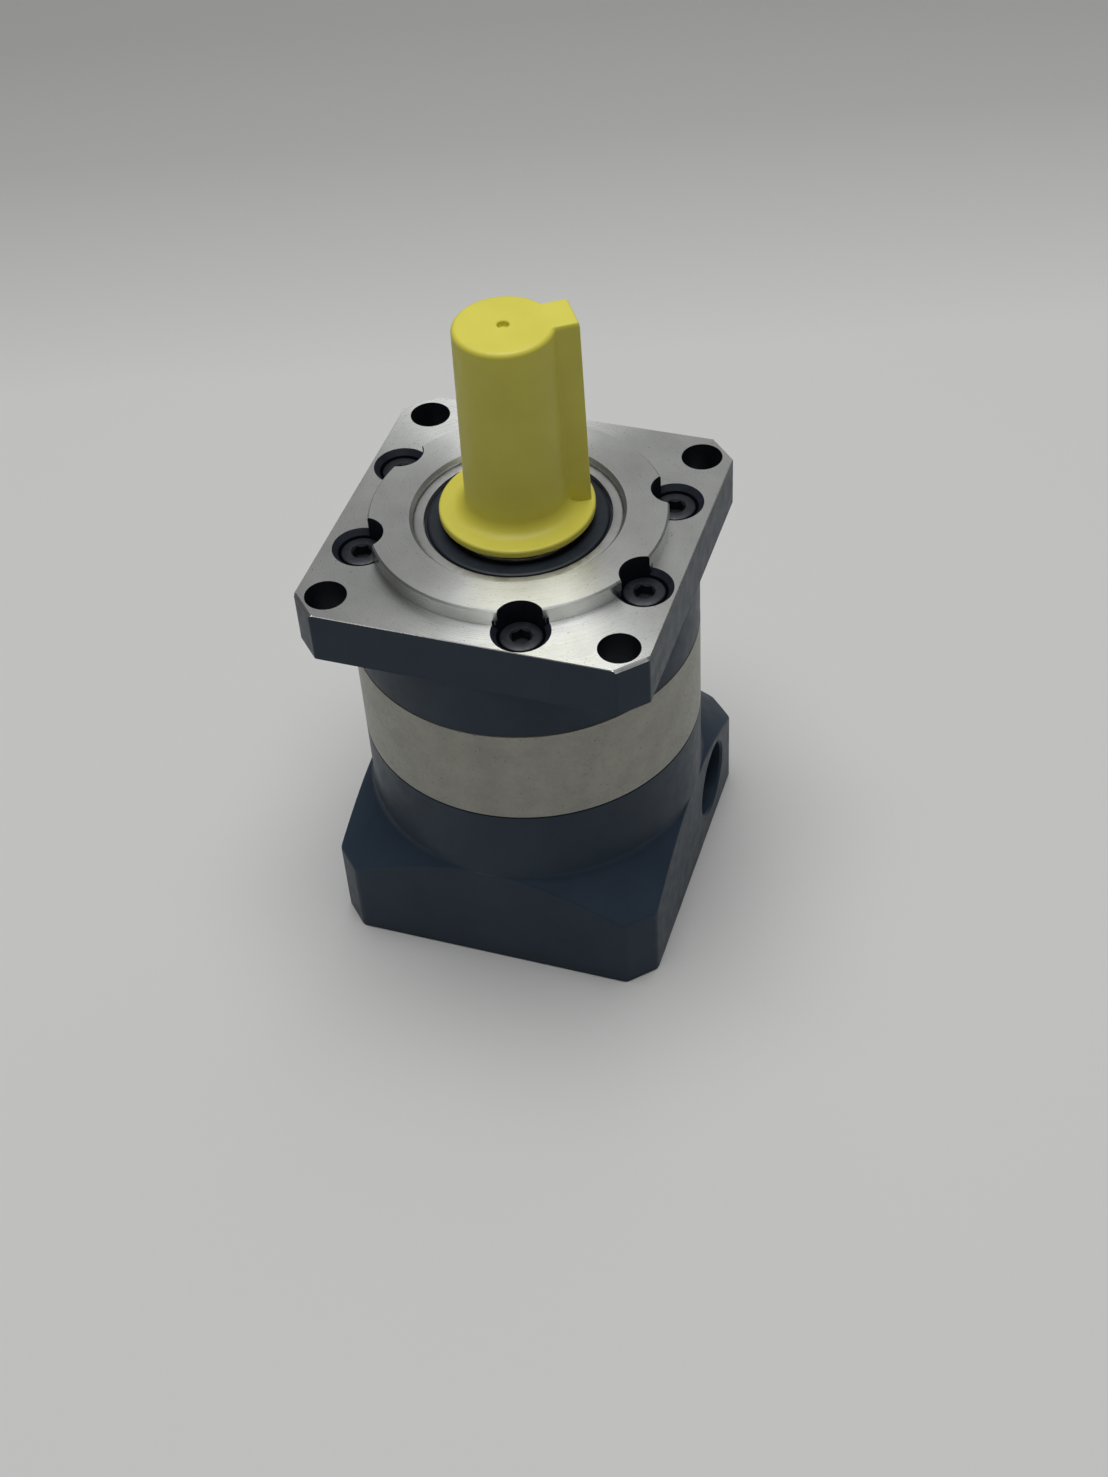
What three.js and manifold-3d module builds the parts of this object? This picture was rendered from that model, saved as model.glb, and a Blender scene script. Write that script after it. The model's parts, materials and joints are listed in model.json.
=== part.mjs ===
// Inline gear reducer: a single-stage planetary unit with a clamp hub for a motor shaft at the bottom
// and a keyed output shaft, under a push-on cap, at the top.
// Millimetres, +Z up along the shaft, origin at the centre of the motor face. The side with the access
// plug faces +X.

import * as THREE from "three";
import { mergeVertices } from "three/addons/utils/BufferGeometryUtils.js";
import Module from "manifold-3d";

const wasm = await Module();
wasm.setup();

// ---------- driving dimensions ----------

const FRAME = 60; // side of the square flanges and diameter of the round case
const CASE_R = FRAME / 2;
const FLANGE_CORNER = 4.25; // corner chamfer of the output flange
const BASE_CORNER = 4.6; // corner chamfer of the motor side

const REAR_TOP = 37.5; // rear housing meets the ring gear
const RING_TOP = 57.1; // ring gear meets the front housing
const FLANGE_BOTTOM = 67.5;
const FLANGE_TOP = 77.1;
const PILOT_TOP = 80.1;
const SHAFT_END = 115.1;
const CAP_TOP = 116.8;

const PILOT_R = 25;
const CONE_START = 22.1; // height where the conical shoulder leaves the round case
const CONE_SLOPE = 0.74; // drop of the shoulder per millimetre outwards

const BOLT_OFFSET = 24.75; // the four flange holes and motor holes lie on a 70 mm circle
const FLANGE_HOLE_R = 3.5;
const MOTOR_HOLE_R = 2.1;
const MOTOR_HOLE_DEPTH = 12;

const CASE_SCREW_CIRCLE = 26.4;
const CASE_SCREW_ANGLES = [-71, -22, 27, 109, 158, 207];
const COUNTERBORE_R = 4;
const COUNTERBORE_FLOOR = 72.2;
const COUNTERBORE_CHAMFER = 0.9; // round its mouth in the flange, but not in the pilot boss
const SCREW_HEAD_R = 3.5;
const SCREW_HEAD_HEIGHT = 4;
const SCREW_R = 2;
const SCREW_TIP = 28.2;
const SCREW_HOLE_R = 2.2;
const HEX_ACROSS_FLATS = 3;

const SPIGOT_R = 23.1; // centring spigots of both housings in the ring gear
const SPIGOT_INNER_R = 21;
const SPIGOT_HEIGHT = 1.2;
const FIT_GAP = 0.1; // radial gap of pieces that slide into each other
const FACE_GAP = 0.2; // axial gap behind a shoulder or spigot
const BEARING_FIT = 0.03; // radial gap between a bearing ring and its seat
const PIN_FIT = 0.06; // radial gap between a planet pin and its hole

const MODULE = 0.9;
const PRESSURE_ANGLE = THREE.MathUtils.degToRad(25);
const SUN_TEETH = 12;
const PLANET_TEETH = 18;
const RING_TEETH = SUN_TEETH + 2 * PLANET_TEETH;
const BACKLASH = 0.06; // thinning of each tooth, in millimetres along the pitch circle
const PLANET_CIRCLE = (MODULE * (SUN_TEETH + PLANET_TEETH)) / 2;
const PLANET_ANGLES = [90, 210, 330];
const PLANET_BOTTOM = 41;
const PLANET_TOP = 51.5;
const PLANET_BORE_R = 4.5;
const PIN_R = 2.5;
const CARRIER_R = 20.3;
const REAR_PLATE_BOTTOM = 37.9;
const REAR_PLATE_TOP = 40.4;
const CHEEK_BOTTOM = 52.1;
const CHEEK_TOP = 56.4;
const WASHER_R = 6.2;
const WASHER_THICKNESS = 0.4;

const SHAFT_R = 7;
const JOURNAL_R = 8.5;
const KEY_WIDTH = 5;
const KEY_HEIGHT = 5;
const KEY_LENGTH = 25;
const KEY_TOP_R = 9;
const KEY_END = 112.6;
const KEY_ANGLE = THREE.MathUtils.degToRad(33); // which way the key and the cap's bulge point

const HUB_BOTTOM = 6;
const HUB_BORE_R = 7;
const HUB_BORE_TOP = 31;
const HUB_CLAMP_R = 9;
const HUB_SEAT_R = 10;
const HUB_SLOT_TOP = 18.5;
const COLLAR_R = 17.5;
const COLLAR_HEIGHT = 9;
const CLAMP_SCREW_Y = 12.3; // the clamp screw and the access hole share one line, parallel to X
const CLAMP_SCREW_Z = 11.5;
const ACCESS_R = 7;
const ACCESS_DEPTH = 2.7; // how far the plug's face lies below the side face
const PLUG_LENGTH = 5;

// A ball bearing's bore, outside, width, height of its lower face, ball radius and number of balls.
const FRONT_BEARING = { bore: 8.5, outside: 17.5, width: 10, bottom: 69.1, ball: 2.38, balls: 7 };
const REAR_BEARING = { bore: 8.5, outside: 15, width: 7, bottom: 60.9, ball: 1.8, balls: 8 };
const INPUT_BEARING = { bore: 10, outside: 16, width: 7, bottom: 27, ball: 1.6, balls: 9 };

// Grooves for the retaining rings: radius of the floor, and lower and upper wall.
const HOUSING_GROOVE = { r: 15.6, bottom: 59.4, top: 60.7 };
const SHAFT_GROOVE = { r: 8.1, bottom: 67.9, top: 68.95 };
const INPUT_GROOVE = { r: 16.6, bottom: 34.2, top: 35.5 };

// The recesses for the front bearing's seals, in both sides of its outer ring.
const SEAL_RECESS = { r: 15.7, depth: 1.3 };

const CAP_BOTTOM = 80.6;
const CAP_FLANGE_R = 12.95;
const CAP_FLANGE_THICKNESS = 1.5;
const CAP_FOOT_R = 8.5;
const CAP_HEAD_R = 8.15;
const CAP_ROOF = 1.3;
const CAP_DIMPLE_R = 0.95;
const CAP_DIMPLE_DEPTH = 0.6;
const BULGE_HALF_WIDTH = 3.6;
const BULGE_FOOT = 11.8;
const BULGE_HEAD = 11.3;
const BULGE_WALL = 1.1;

const CASE_SIDES = 40; // facets round the case
const ROUND_SIDES = 32; // facets round the pieces inside it
const SMALL_SIDES = 12; // facets round screws, pins and their holes
const OVERSHOOT = 1; // how far a cutting tool reaches past the face that it opens

// ---------- materials ----------

const finish = (color, roughness, metalness) =>
  new THREE.MeshStandardMaterial({ color, roughness, metalness });

const MATERIALS = {
  anodised: finish(0x20242c, 0.45, 0.6),
  ringSteel: finish(0x77736a, 0.5, 0.9),
  bearingSteel: finish(0xb8bab8, 0.25, 1),
  turnedSteel: finish(0x9c9d9a, 0.35, 1),
  gearSteel: finish(0x6f7174, 0.4, 1),
  blackScrew: finish(0x1a1b1d, 0.5, 0.7),
  rubber: finish(0x16171a, 0.8, 0),
  bronze: finish(0x9a7440, 0.45, 0.9),
  yellowPlastic: finish(0xcdc650, 0.45, 0),
  blackPlastic: finish(0x1c1e22, 0.55, 0),
};

// ---------- solids ----------

// A closed three.js geometry as a solid that can be cut and joined.
function solid(geometry) {
  const bare = geometry.clone();
  bare.deleteAttribute("normal");
  bare.deleteAttribute("uv");
  const merged = mergeVertices(bare, 1e-4);
  const index = merged.index.array;
  const kept = [];
  for (let i = 0; i < index.length; i += 3) {
    const [a, b, c] = [index[i], index[i + 1], index[i + 2]];
    if (a !== b && b !== c && c !== a) kept.push(a, b, c);
  }
  const vertProperties = merged.attributes.position.array;
  return new wasm.Manifold(new wasm.Mesh({ numProp: 3, vertProperties, triVerts: new Uint32Array(kept) }));
}

const union = (...pieces) => pieces.reduce((sum, piece) => sum.add(piece));
const cut = (body, ...tools) => tools.reduce((rest, tool) => rest.subtract(tool), body);

// A finished solid as a named mesh.
function part(name, body, material) {
  const result = body.getMesh();
  const geometry = new THREE.BufferGeometry();
  geometry.setAttribute("position", new THREE.BufferAttribute(result.vertProperties, 3));
  geometry.setIndex(new THREE.BufferAttribute(result.triVerts, 1));
  geometry.computeVertexNormals();
  const mesh = new THREE.Mesh(geometry, material);
  mesh.name = name;
  return mesh;
}

// A solid of revolution about Z. The profile is a closed loop of [radius, height] points, listed
// upwards along its outer side and back down along its inner side.
function turned(profile, sides = ROUND_SIDES) {
  const loop = [...profile, profile[0]].map(([r, z]) => new THREE.Vector2(r, z));
  return solid(new THREE.LatheGeometry(loop, sides).rotateX(Math.PI / 2));
}

const disc = (r, z0, z1, sides = ROUND_SIDES) => turned([[0, z0], [r, z0], [r, z1], [0, z1]], sides);
const tube = (outer, inner, z0, z1, sides = ROUND_SIDES) =>
  turned([[inner, z0], [outer, z0], [outer, z1], [inner, z1]], sides);

// A flat outline, in X and Y, raised from z0 to z1.
function raised(shape, z0, z1, curveSegments = 12) {
  const settings = { depth: z1 - z0, bevelEnabled: false, curveSegments };
  return solid(new THREE.ExtrudeGeometry(shape, settings).translate(0, 0, z0));
}

function block(x0, x1, y0, y1, z0, z1) {
  const geometry = new THREE.BoxGeometry(x1 - x0, y1 - y0, z1 - z0);
  return solid(geometry.translate((x0 + x1) / 2, (y0 + y1) / 2, (z0 + z1) / 2));
}

// The same solid standing at an angle and a distance from the shaft's axis.
function atPolar(body, radius, degrees) {
  const a = THREE.MathUtils.degToRad(degrees);
  return body.rotate([0, 0, degrees]).translate([radius * Math.cos(a), radius * Math.sin(a), 0]);
}

const turnAboutZ = (body, radians) => body.rotate([0, 0, THREE.MathUtils.radToDeg(radians)]);

// A solid made along Z laid along X, with the line of the clamp screw as its axis.
const alongClampLine = (body) => body.rotate([0, 90, 0]).translate([0, CLAMP_SCREW_Y, CLAMP_SCREW_Z]);

function chamferedSquare(side, corner) {
  const half = side / 2;
  const inner = half - corner;
  const points = [
    [half, -inner], [half, inner], [inner, half], [-inner, half],
    [-half, inner], [-half, -inner], [-inner, -half], [inner, -half],
  ];
  return new THREE.Shape(points.map(([x, y]) => new THREE.Vector2(x, y)));
}

const CORNERS = [[-1, -1], [1, -1], [1, 1], [-1, 1]];
const cornerHoles = (r, z0, z1) =>
  CORNERS.map(([x, y]) => disc(r, z0, z1, SMALL_SIDES).translate([x * BOLT_OFFSET, y * BOLT_OFFSET, 0]));

const caseScrewHoles = (r, z0, z1) =>
  CASE_SCREW_ANGLES.map((angle) => atPolar(disc(r, z0, z1, SMALL_SIDES), CASE_SCREW_CIRCLE, angle));

// The chamfered mouth of a case screw's counterbore.
const counterboreMouth = () =>
  turned(
    [
      [0, FLANGE_TOP - COUNTERBORE_CHAMFER],
      [COUNTERBORE_R, FLANGE_TOP - COUNTERBORE_CHAMFER],
      [COUNTERBORE_R + COUNTERBORE_CHAMFER, FLANGE_TOP],
      [COUNTERBORE_R + COUNTERBORE_CHAMFER, FLANGE_TOP + OVERSHOOT],
      [0, FLANGE_TOP + OVERSHOOT],
    ],
    SMALL_SIDES,
  );

// ---------- case ----------

function frontHousing() {
  const neck = disc(CASE_R, RING_TOP, FLANGE_BOTTOM + OVERSHOOT, CASE_SIDES);
  const spigot = disc(SPIGOT_R, RING_TOP - SPIGOT_HEIGHT, RING_TOP + OVERSHOOT, CASE_SIDES);
  const flange = raised(chamferedSquare(FRAME, FLANGE_CORNER), FLANGE_BOTTOM, FLANGE_TOP);
  const pilotChamfer = 0.5;
  const pilot = turned(
    [
      [0, FLANGE_TOP - OVERSHOOT],
      [PILOT_R, FLANGE_TOP - OVERSHOOT],
      [PILOT_R, PILOT_TOP - pilotChamfer],
      [PILOT_R - pilotChamfer, PILOT_TOP],
      [0, PILOT_TOP],
    ],
    CASE_SIDES,
  );
  const boss = disc(PILOT_R, FLANGE_BOTTOM, PILOT_TOP, CASE_SIDES);
  const mouths = CASE_SCREW_ANGLES.map((angle) =>
    atPolar(counterboreMouth(), CASE_SCREW_CIRCLE, angle).subtract(boss),
  );
  const lip = { inner: 12.6, bottom: REAR_BEARING.bottom + REAR_BEARING.width, top: FRONT_BEARING.bottom };
  const frontSeat = FRONT_BEARING.outside + BEARING_FIT;
  const rearSeat = REAR_BEARING.outside + BEARING_FIT;
  const mouthChamfer = 0.5;
  const bore = turned([
    [0, RING_TOP - SPIGOT_HEIGHT - OVERSHOOT],
    [SPIGOT_INNER_R, RING_TOP - SPIGOT_HEIGHT - OVERSHOOT],
    [SPIGOT_INNER_R, RING_TOP],
    [rearSeat, RING_TOP],
    [rearSeat, HOUSING_GROOVE.bottom],
    [HOUSING_GROOVE.r, HOUSING_GROOVE.bottom],
    [HOUSING_GROOVE.r, HOUSING_GROOVE.top],
    [rearSeat, HOUSING_GROOVE.top],
    [rearSeat, lip.bottom],
    [lip.inner, lip.bottom],
    [lip.inner, lip.top],
    [frontSeat, lip.top],
    [frontSeat, PILOT_TOP - mouthChamfer],
    [frontSeat + mouthChamfer, PILOT_TOP],
    [frontSeat + mouthChamfer, PILOT_TOP + OVERSHOOT],
    [0, PILOT_TOP + OVERSHOOT],
  ]);
  return cut(
    union(neck, spigot, flange, pilot),
    bore,
    ...cornerHoles(FLANGE_HOLE_R, FLANGE_BOTTOM - OVERSHOOT, FLANGE_TOP + OVERSHOOT),
    ...mouths,
    ...caseScrewHoles(COUNTERBORE_R, COUNTERBORE_FLOOR, PILOT_TOP + OVERSHOOT),
    ...caseScrewHoles(SCREW_HOLE_R, RING_TOP - OVERSHOOT, COUNTERBORE_FLOOR + OVERSHOOT),
  );
}

function ringGear() {
  const recessR = SPIGOT_R + FIT_GAP;
  const recessDepth = SPIGOT_HEIGHT + FACE_GAP;
  return cut(
    disc(CASE_R, REAR_TOP, RING_TOP, CASE_SIDES),
    disc(recessR, REAR_TOP - OVERSHOOT, REAR_TOP + recessDepth, CASE_SIDES),
    disc(recessR, RING_TOP - recessDepth, RING_TOP + OVERSHOOT, CASE_SIDES),
    raised(ringSpaceOutline(), REAR_TOP, RING_TOP),
    ...caseScrewHoles(SCREW_HOLE_R, REAR_TOP - OVERSHOOT, RING_TOP + OVERSHOOT),
  );
}

function rearHousing() {
  const wide = FRAME; // any radius beyond the square's corners
  const shoulder = turned(
    [
      [0, 0],
      [wide, 0],
      [wide, CONE_START - CONE_SLOPE * (wide - CASE_R)],
      [CASE_R, CONE_START],
      [CASE_R, REAR_TOP],
      [SPIGOT_R, REAR_TOP],
      [SPIGOT_R, REAR_TOP + SPIGOT_HEIGHT],
      [0, REAR_TOP + SPIGOT_HEIGHT],
    ],
    CASE_SIDES,
  );
  const square = raised(chamferedSquare(FRAME, BASE_CORNER), 0, REAR_TOP + SPIGOT_HEIGHT);
  const pilotDepth = 4;
  const chamber = { r: 19.5, top: 19 };
  const sealSeat = { r: 14, bottom: 22 };
  const lipR = 11;
  const seat = INPUT_BEARING.outside + BEARING_FIT;
  const bore = turned([
    [0, -OVERSHOOT],
    [PILOT_R, -OVERSHOOT],
    [PILOT_R, pilotDepth],
    [chamber.r, pilotDepth],
    [chamber.r, chamber.top],
    [lipR, chamber.top],
    [lipR, sealSeat.bottom],
    [sealSeat.r, sealSeat.bottom],
    [sealSeat.r, INPUT_BEARING.bottom],
    [seat, INPUT_BEARING.bottom],
    [seat, INPUT_GROOVE.bottom],
    [INPUT_GROOVE.r, INPUT_GROOVE.bottom],
    [INPUT_GROOVE.r, INPUT_GROOVE.top],
    [seat, INPUT_GROOVE.top],
    [seat, REAR_TOP],
    [SPIGOT_INNER_R, REAR_TOP],
    [SPIGOT_INNER_R, REAR_TOP + SPIGOT_HEIGHT + OVERSHOOT],
    [0, REAR_TOP + SPIGOT_HEIGHT + OVERSHOOT],
  ]);
  const accessInner = 17;
  const access = alongClampLine(disc(ACCESS_R, accessInner, CASE_R + OVERSHOOT, ROUND_SIDES));
  const tappedBottom = SCREW_TIP - 1;
  return cut(
    square.intersect(shoulder),
    bore,
    access,
    ...cornerHoles(MOTOR_HOLE_R, -OVERSHOOT, MOTOR_HOLE_DEPTH),
    ...caseScrewHoles(SCREW_R + FIT_GAP, tappedBottom, REAR_TOP + OVERSHOOT),
  );
}

function accessPlug() {
  const outer = CASE_R - ACCESS_DEPTH;
  const inner = outer - PLUG_LENGTH;
  const r = ACCESS_R - FIT_GAP;
  const chamfer = 0.4;
  const dimple = { r: 3, depth: 1.5 };
  const plug = turned([
    [0, inner],
    [r - chamfer, inner],
    [r, inner + chamfer],
    [r, outer],
    [dimple.r, outer],
    [dimple.r, outer - dimple.depth],
    [0, outer - dimple.depth],
  ], ROUND_SIDES);
  return alongClampLine(plug);
}

// A socket head screw standing on its head's underside at seatZ, with its tip at tipZ.
function socketScrew({ headR, headHeight, r, seatZ, tipZ, acrossFlats }) {
  const top = seatZ + headHeight;
  const chamfer = 0.4;
  const body = turned(
    [
      [0, tipZ],
      [r - chamfer, tipZ],
      [r, tipZ + chamfer],
      [r, seatZ],
      [headR, seatZ],
      [headR, top - chamfer],
      [headR - chamfer, top],
      [0, top],
    ],
    SMALL_SIDES,
  );
  const socketDepth = headHeight / 2;
  const socket = disc(acrossFlats / Math.sqrt(3), top - socketDepth, top + OVERSHOOT, 6);
  return body.subtract(socket);
}

function caseScrew(angle) {
  const screw = socketScrew({
    headR: SCREW_HEAD_R,
    headHeight: SCREW_HEAD_HEIGHT,
    r: SCREW_R,
    seatZ: COUNTERBORE_FLOOR,
    tipZ: SCREW_TIP,
    acrossFlats: HEX_ACROSS_FLATS,
  });
  return atPolar(screw, CASE_SCREW_CIRCLE, angle);
}

// ---------- gears ----------

const involute = (angle) => Math.tan(angle) - angle;

// The half width of a tooth at a radius, as an angle about the gear's axis.
function halfToothAngle(teeth, radius, thickening) {
  const pitchR = (MODULE * teeth) / 2;
  const baseR = pitchR * Math.cos(PRESSURE_ANGLE);
  const atRadius = radius > baseR ? involute(Math.acos(baseR / radius)) : 0;
  return Math.PI / (2 * teeth) + thickening / (2 * pitchR) + involute(PRESSURE_ANGLE) - atRadius;
}

// The outline of a gear with involute teeth, one of them centred on the X axis.
function gearOutline(teeth, tipR, rootR, thickening) {
  const steps = 2;
  const points = [];
  for (let tooth = 0; tooth < teeth; tooth += 1) {
    const centre = (2 * Math.PI * tooth) / teeth;
    const flank = [];
    for (let i = 0; i <= steps; i += 1) {
      const radius = rootR + ((tipR - rootR) * i) / steps;
      flank.push([radius, halfToothAngle(teeth, radius, thickening)]);
    }
    for (const [radius, half] of flank) points.push([radius, centre - half]);
    for (const [radius, half] of flank.reverse()) points.push([radius, centre + half]);
  }
  return new THREE.Shape(points.map(([r, a]) => new THREE.Vector2(r * Math.cos(a), r * Math.sin(a))));
}

function externalGear(teeth, z0, z1) {
  const pitchR = (MODULE * teeth) / 2;
  return raised(gearOutline(teeth, pitchR + MODULE, pitchR - 1.25 * MODULE, -BACKLASH), z0, z1);
}

// The space inside the ring gear, which is a gear outline with its own tips in the ring's roots.
function ringSpaceOutline() {
  const pitchR = (MODULE * RING_TEETH) / 2;
  return gearOutline(RING_TEETH, pitchR + 1.25 * MODULE, pitchR - MODULE, BACKLASH);
}

function planetGear(angle) {
  const gear = cut(
    externalGear(PLANET_TEETH, PLANET_BOTTOM, PLANET_TOP),
    disc(PLANET_BORE_R, PLANET_BOTTOM - OVERSHOOT, PLANET_TOP + OVERSHOOT, SMALL_SIDES),
  );
  return atPolar(gear, PLANET_CIRCLE, angle);
}

function planetBush(angle) {
  const wallGap = 0.12;
  const bush = tube(PLANET_BORE_R - wallGap, PIN_R + wallGap, PLANET_BOTTOM, PLANET_TOP, SMALL_SIDES);
  return atPolar(bush, PLANET_CIRCLE, angle);
}

function planetPin(angle) {
  const recess = 0.3;
  const pin = disc(PIN_R, REAR_PLATE_BOTTOM + recess, CHEEK_TOP - recess, SMALL_SIDES);
  return atPolar(pin, PLANET_CIRCLE, angle);
}

function thrustWasher(angle, z0) {
  const washer = tube(WASHER_R, PIN_R + FIT_GAP, z0, z0 + WASHER_THICKNESS, SMALL_SIDES);
  return atPolar(washer, PLANET_CIRCLE, angle);
}

const pinHoles = (z0, z1) =>
  PLANET_ANGLES.map((angle) => atPolar(disc(PIN_R + PIN_FIT, z0, z1, SMALL_SIDES), PLANET_CIRCLE, angle));

function carrierPlate() {
  const sunClearance = 7.5;
  return cut(
    tube(CARRIER_R, sunClearance, REAR_PLATE_BOTTOM, REAR_PLATE_TOP),
    ...pinHoles(REAR_PLATE_BOTTOM - OVERSHOOT, REAR_PLATE_TOP + OVERSHOOT),
  );
}

// ---------- output shaft ----------

// A slot or key outline with round ends, in the plane that faces the key's direction.
function keyOutline(width, bottom, top) {
  const r = width / 2;
  const shape = new THREE.Shape();
  shape.absarc(0, top - r, r, 0, Math.PI);
  shape.absarc(0, bottom + r, r, Math.PI, 2 * Math.PI);
  return shape;
}

// An outline in X and Z that is raised along the key's direction from one radius to another.
function facingKey(shape, from, to) {
  const settings = { depth: to - from, bevelEnabled: false, curveSegments: 6 };
  const geometry = new THREE.ExtrudeGeometry(shape, settings).translate(0, 0, from);
  geometry.rotateX(Math.PI / 2).rotateZ(Math.PI);
  return turnAboutZ(solid(geometry), KEY_ANGLE - Math.PI / 2);
}

function outputShaft() {
  const shoulder = { r: 10.2, top: REAR_BEARING.bottom - 0.1 };
  const journalTop = FRONT_BEARING.bottom + FRONT_BEARING.width + 0.15;
  const endChamfer = 0.8;
  const body = turned([
    [0, CHEEK_BOTTOM],
    [CARRIER_R, CHEEK_BOTTOM],
    [CARRIER_R, CHEEK_TOP],
    [shoulder.r, CHEEK_TOP],
    [shoulder.r, shoulder.top],
    [JOURNAL_R, shoulder.top],
    [JOURNAL_R, SHAFT_GROOVE.bottom],
    [SHAFT_GROOVE.r, SHAFT_GROOVE.bottom],
    [SHAFT_GROOVE.r, SHAFT_GROOVE.top],
    [JOURNAL_R, SHAFT_GROOVE.top],
    [JOURNAL_R, journalTop],
    [SHAFT_R, journalTop],
    [SHAFT_R, SHAFT_END - endChamfer],
    [SHAFT_R - endChamfer, SHAFT_END],
    [0, SHAFT_END],
  ]);
  const endHole = { r: 2.1, depth: 12 };
  const seatFloor = KEY_TOP_R - KEY_HEIGHT;
  const seat = facingKey(
    keyOutline(KEY_WIDTH, KEY_END - KEY_LENGTH, KEY_END),
    seatFloor,
    SHAFT_R + OVERSHOOT,
  );
  return cut(
    body,
    seat,
    disc(endHole.r, SHAFT_END - endHole.depth, SHAFT_END + OVERSHOOT, SMALL_SIDES),
    ...pinHoles(CHEEK_BOTTOM - OVERSHOOT, CHEEK_TOP + OVERSHOOT),
  );
}

function shaftKey() {
  const gap = 0.05;
  const outline = keyOutline(KEY_WIDTH - 2 * gap, KEY_END - KEY_LENGTH + gap, KEY_END - gap);
  return facingKey(outline, KEY_TOP_R - KEY_HEIGHT + gap, KEY_TOP_R);
}

// An open ring that snaps into a groove, with a gap between its ends.
function retainingRing(outer, inner, groove, gapDegrees) {
  const [z0, z1] = [groove.bottom + FIT_GAP, groove.top - FIT_GAP];
  const half = THREE.MathUtils.degToRad(gapDegrees / 2);
  const shape = new THREE.Shape();
  shape.absarc(0, 0, outer, half, 2 * Math.PI - half, false);
  shape.absarc(0, 0, inner, 2 * Math.PI - half, half, true);
  return raised(shape, z0, z1, SMALL_SIDES);
}

// ---------- ball bearings ----------

function bearingSizes({ bore, outside, width, bottom, ball }) {
  const middle = (bore + outside) / 2;
  return {
    middle,
    centre: bottom + width / 2,
    top: bottom + width,
    innerShoulder: middle - 0.7 * ball,
    outerShoulder: middle + 0.7 * ball,
  };
}

// The arc of a ball groove, from its lower edge to its upper edge. side is 1 in the outer ring and
// -1 in the inner ring.
function grooveArc(bearing, side) {
  const { middle, centre } = bearingSizes(bearing);
  const r = bearing.ball + 0.12;
  const edge = Math.acos((0.7 * bearing.ball) / r);
  return [-1, -0.4, 0.4, 1].map((t) => [
    middle + side * r * Math.cos(t * edge),
    centre + r * Math.sin(t * edge),
  ]);
}

function outerRing(bearing) {
  const { outerShoulder, top } = bearingSizes(bearing);
  return turned([
    [outerShoulder, bearing.bottom],
    [bearing.outside, bearing.bottom],
    [bearing.outside, top],
    [outerShoulder, top],
    ...grooveArc(bearing, 1).reverse(),
  ]);
}

function sealedOuterRing(bearing) {
  const { outerShoulder, top } = bearingSizes(bearing);
  const { r, depth } = SEAL_RECESS;
  return turned([
    [r, bearing.bottom],
    [bearing.outside, bearing.bottom],
    [bearing.outside, top],
    [r, top],
    [r, top - depth],
    [outerShoulder, top - depth],
    ...grooveArc(bearing, 1).reverse(),
    [outerShoulder, bearing.bottom + depth],
    [r, bearing.bottom + depth],
  ]);
}

function innerRing(bearing) {
  const { innerShoulder, top } = bearingSizes(bearing);
  const bore = bearing.bore + BEARING_FIT;
  return turned([
    [bore, bearing.bottom],
    [innerShoulder, bearing.bottom],
    ...grooveArc(bearing, -1),
    [innerShoulder, top],
    [bore, top],
  ]);
}

// The balls and the cage that spaces them, which go round together.
function ballCage(bearing) {
  const { middle, centre } = bearingSizes(bearing);
  const { ball, balls } = bearing;
  const halfBand = 0.3 * ball;
  const halfHeight = 0.55 * ball;
  const sides = 2 * balls;
  const band = tube(middle + halfBand, middle - halfBand, centre - halfHeight, centre + halfHeight, sides);
  const sphere = solid(new THREE.SphereGeometry(ball, 6, 4)).translate([0, 0, centre]);
  const set = Array.from({ length: balls }, (_, i) => atPolar(sphere, middle, (360 * i) / balls));
  return union(band, ...set);
}

// A rubber seal washer in a recess of the outer ring, just clear of the inner ring.
function bearingSeal(z0) {
  const { innerShoulder } = bearingSizes(FRONT_BEARING);
  const lipGap = 0.15;
  const thickness = 1;
  return tube(SEAL_RECESS.r - FIT_GAP, innerShoulder + lipGap, z0, z0 + thickness);
}

// ---------- input side ----------

function inputHub() {
  const shoulder = { r: 12, top: 36 };
  const neck = { r: 4.1, top: 40.7 };
  const sunTop = 51.7;
  const body = turned([
    [0, HUB_BOTTOM],
    [HUB_CLAMP_R, HUB_BOTTOM],
    [HUB_CLAMP_R, INPUT_BEARING.bottom],
    [HUB_SEAT_R, INPUT_BEARING.bottom],
    [HUB_SEAT_R, INPUT_BEARING.bottom + INPUT_BEARING.width + 0.05],
    [shoulder.r, INPUT_BEARING.bottom + INPUT_BEARING.width + 0.05],
    [shoulder.r, shoulder.top],
    [neck.r, shoulder.top],
    [neck.r, neck.top + OVERSHOOT],
    [0, neck.top + OVERSHOOT],
  ]);
  const halfTooth = 180 / SUN_TEETH;
  const sun = externalGear(SUN_TEETH, neck.top, sunTop).rotate([0, 0, PLANET_ANGLES[0] + halfTooth]);
  const slotHalf = 0.6;
  const reach = HUB_CLAMP_R + OVERSHOOT;
  return cut(
    union(body, sun),
    disc(HUB_BORE_R, HUB_BOTTOM - OVERSHOOT, HUB_BORE_TOP),
    block(-slotHalf, slotHalf, -reach, reach, HUB_BOTTOM - OVERSHOOT, HUB_SLOT_TOP),
    block(-reach, reach, -slotHalf, slotHalf, HUB_BOTTOM - OVERSHOOT, HUB_SLOT_TOP),
  );
}

const CLAMP_HEAD_SEAT = 3.5; // distance of the clamp screw's head seat from the split

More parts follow.
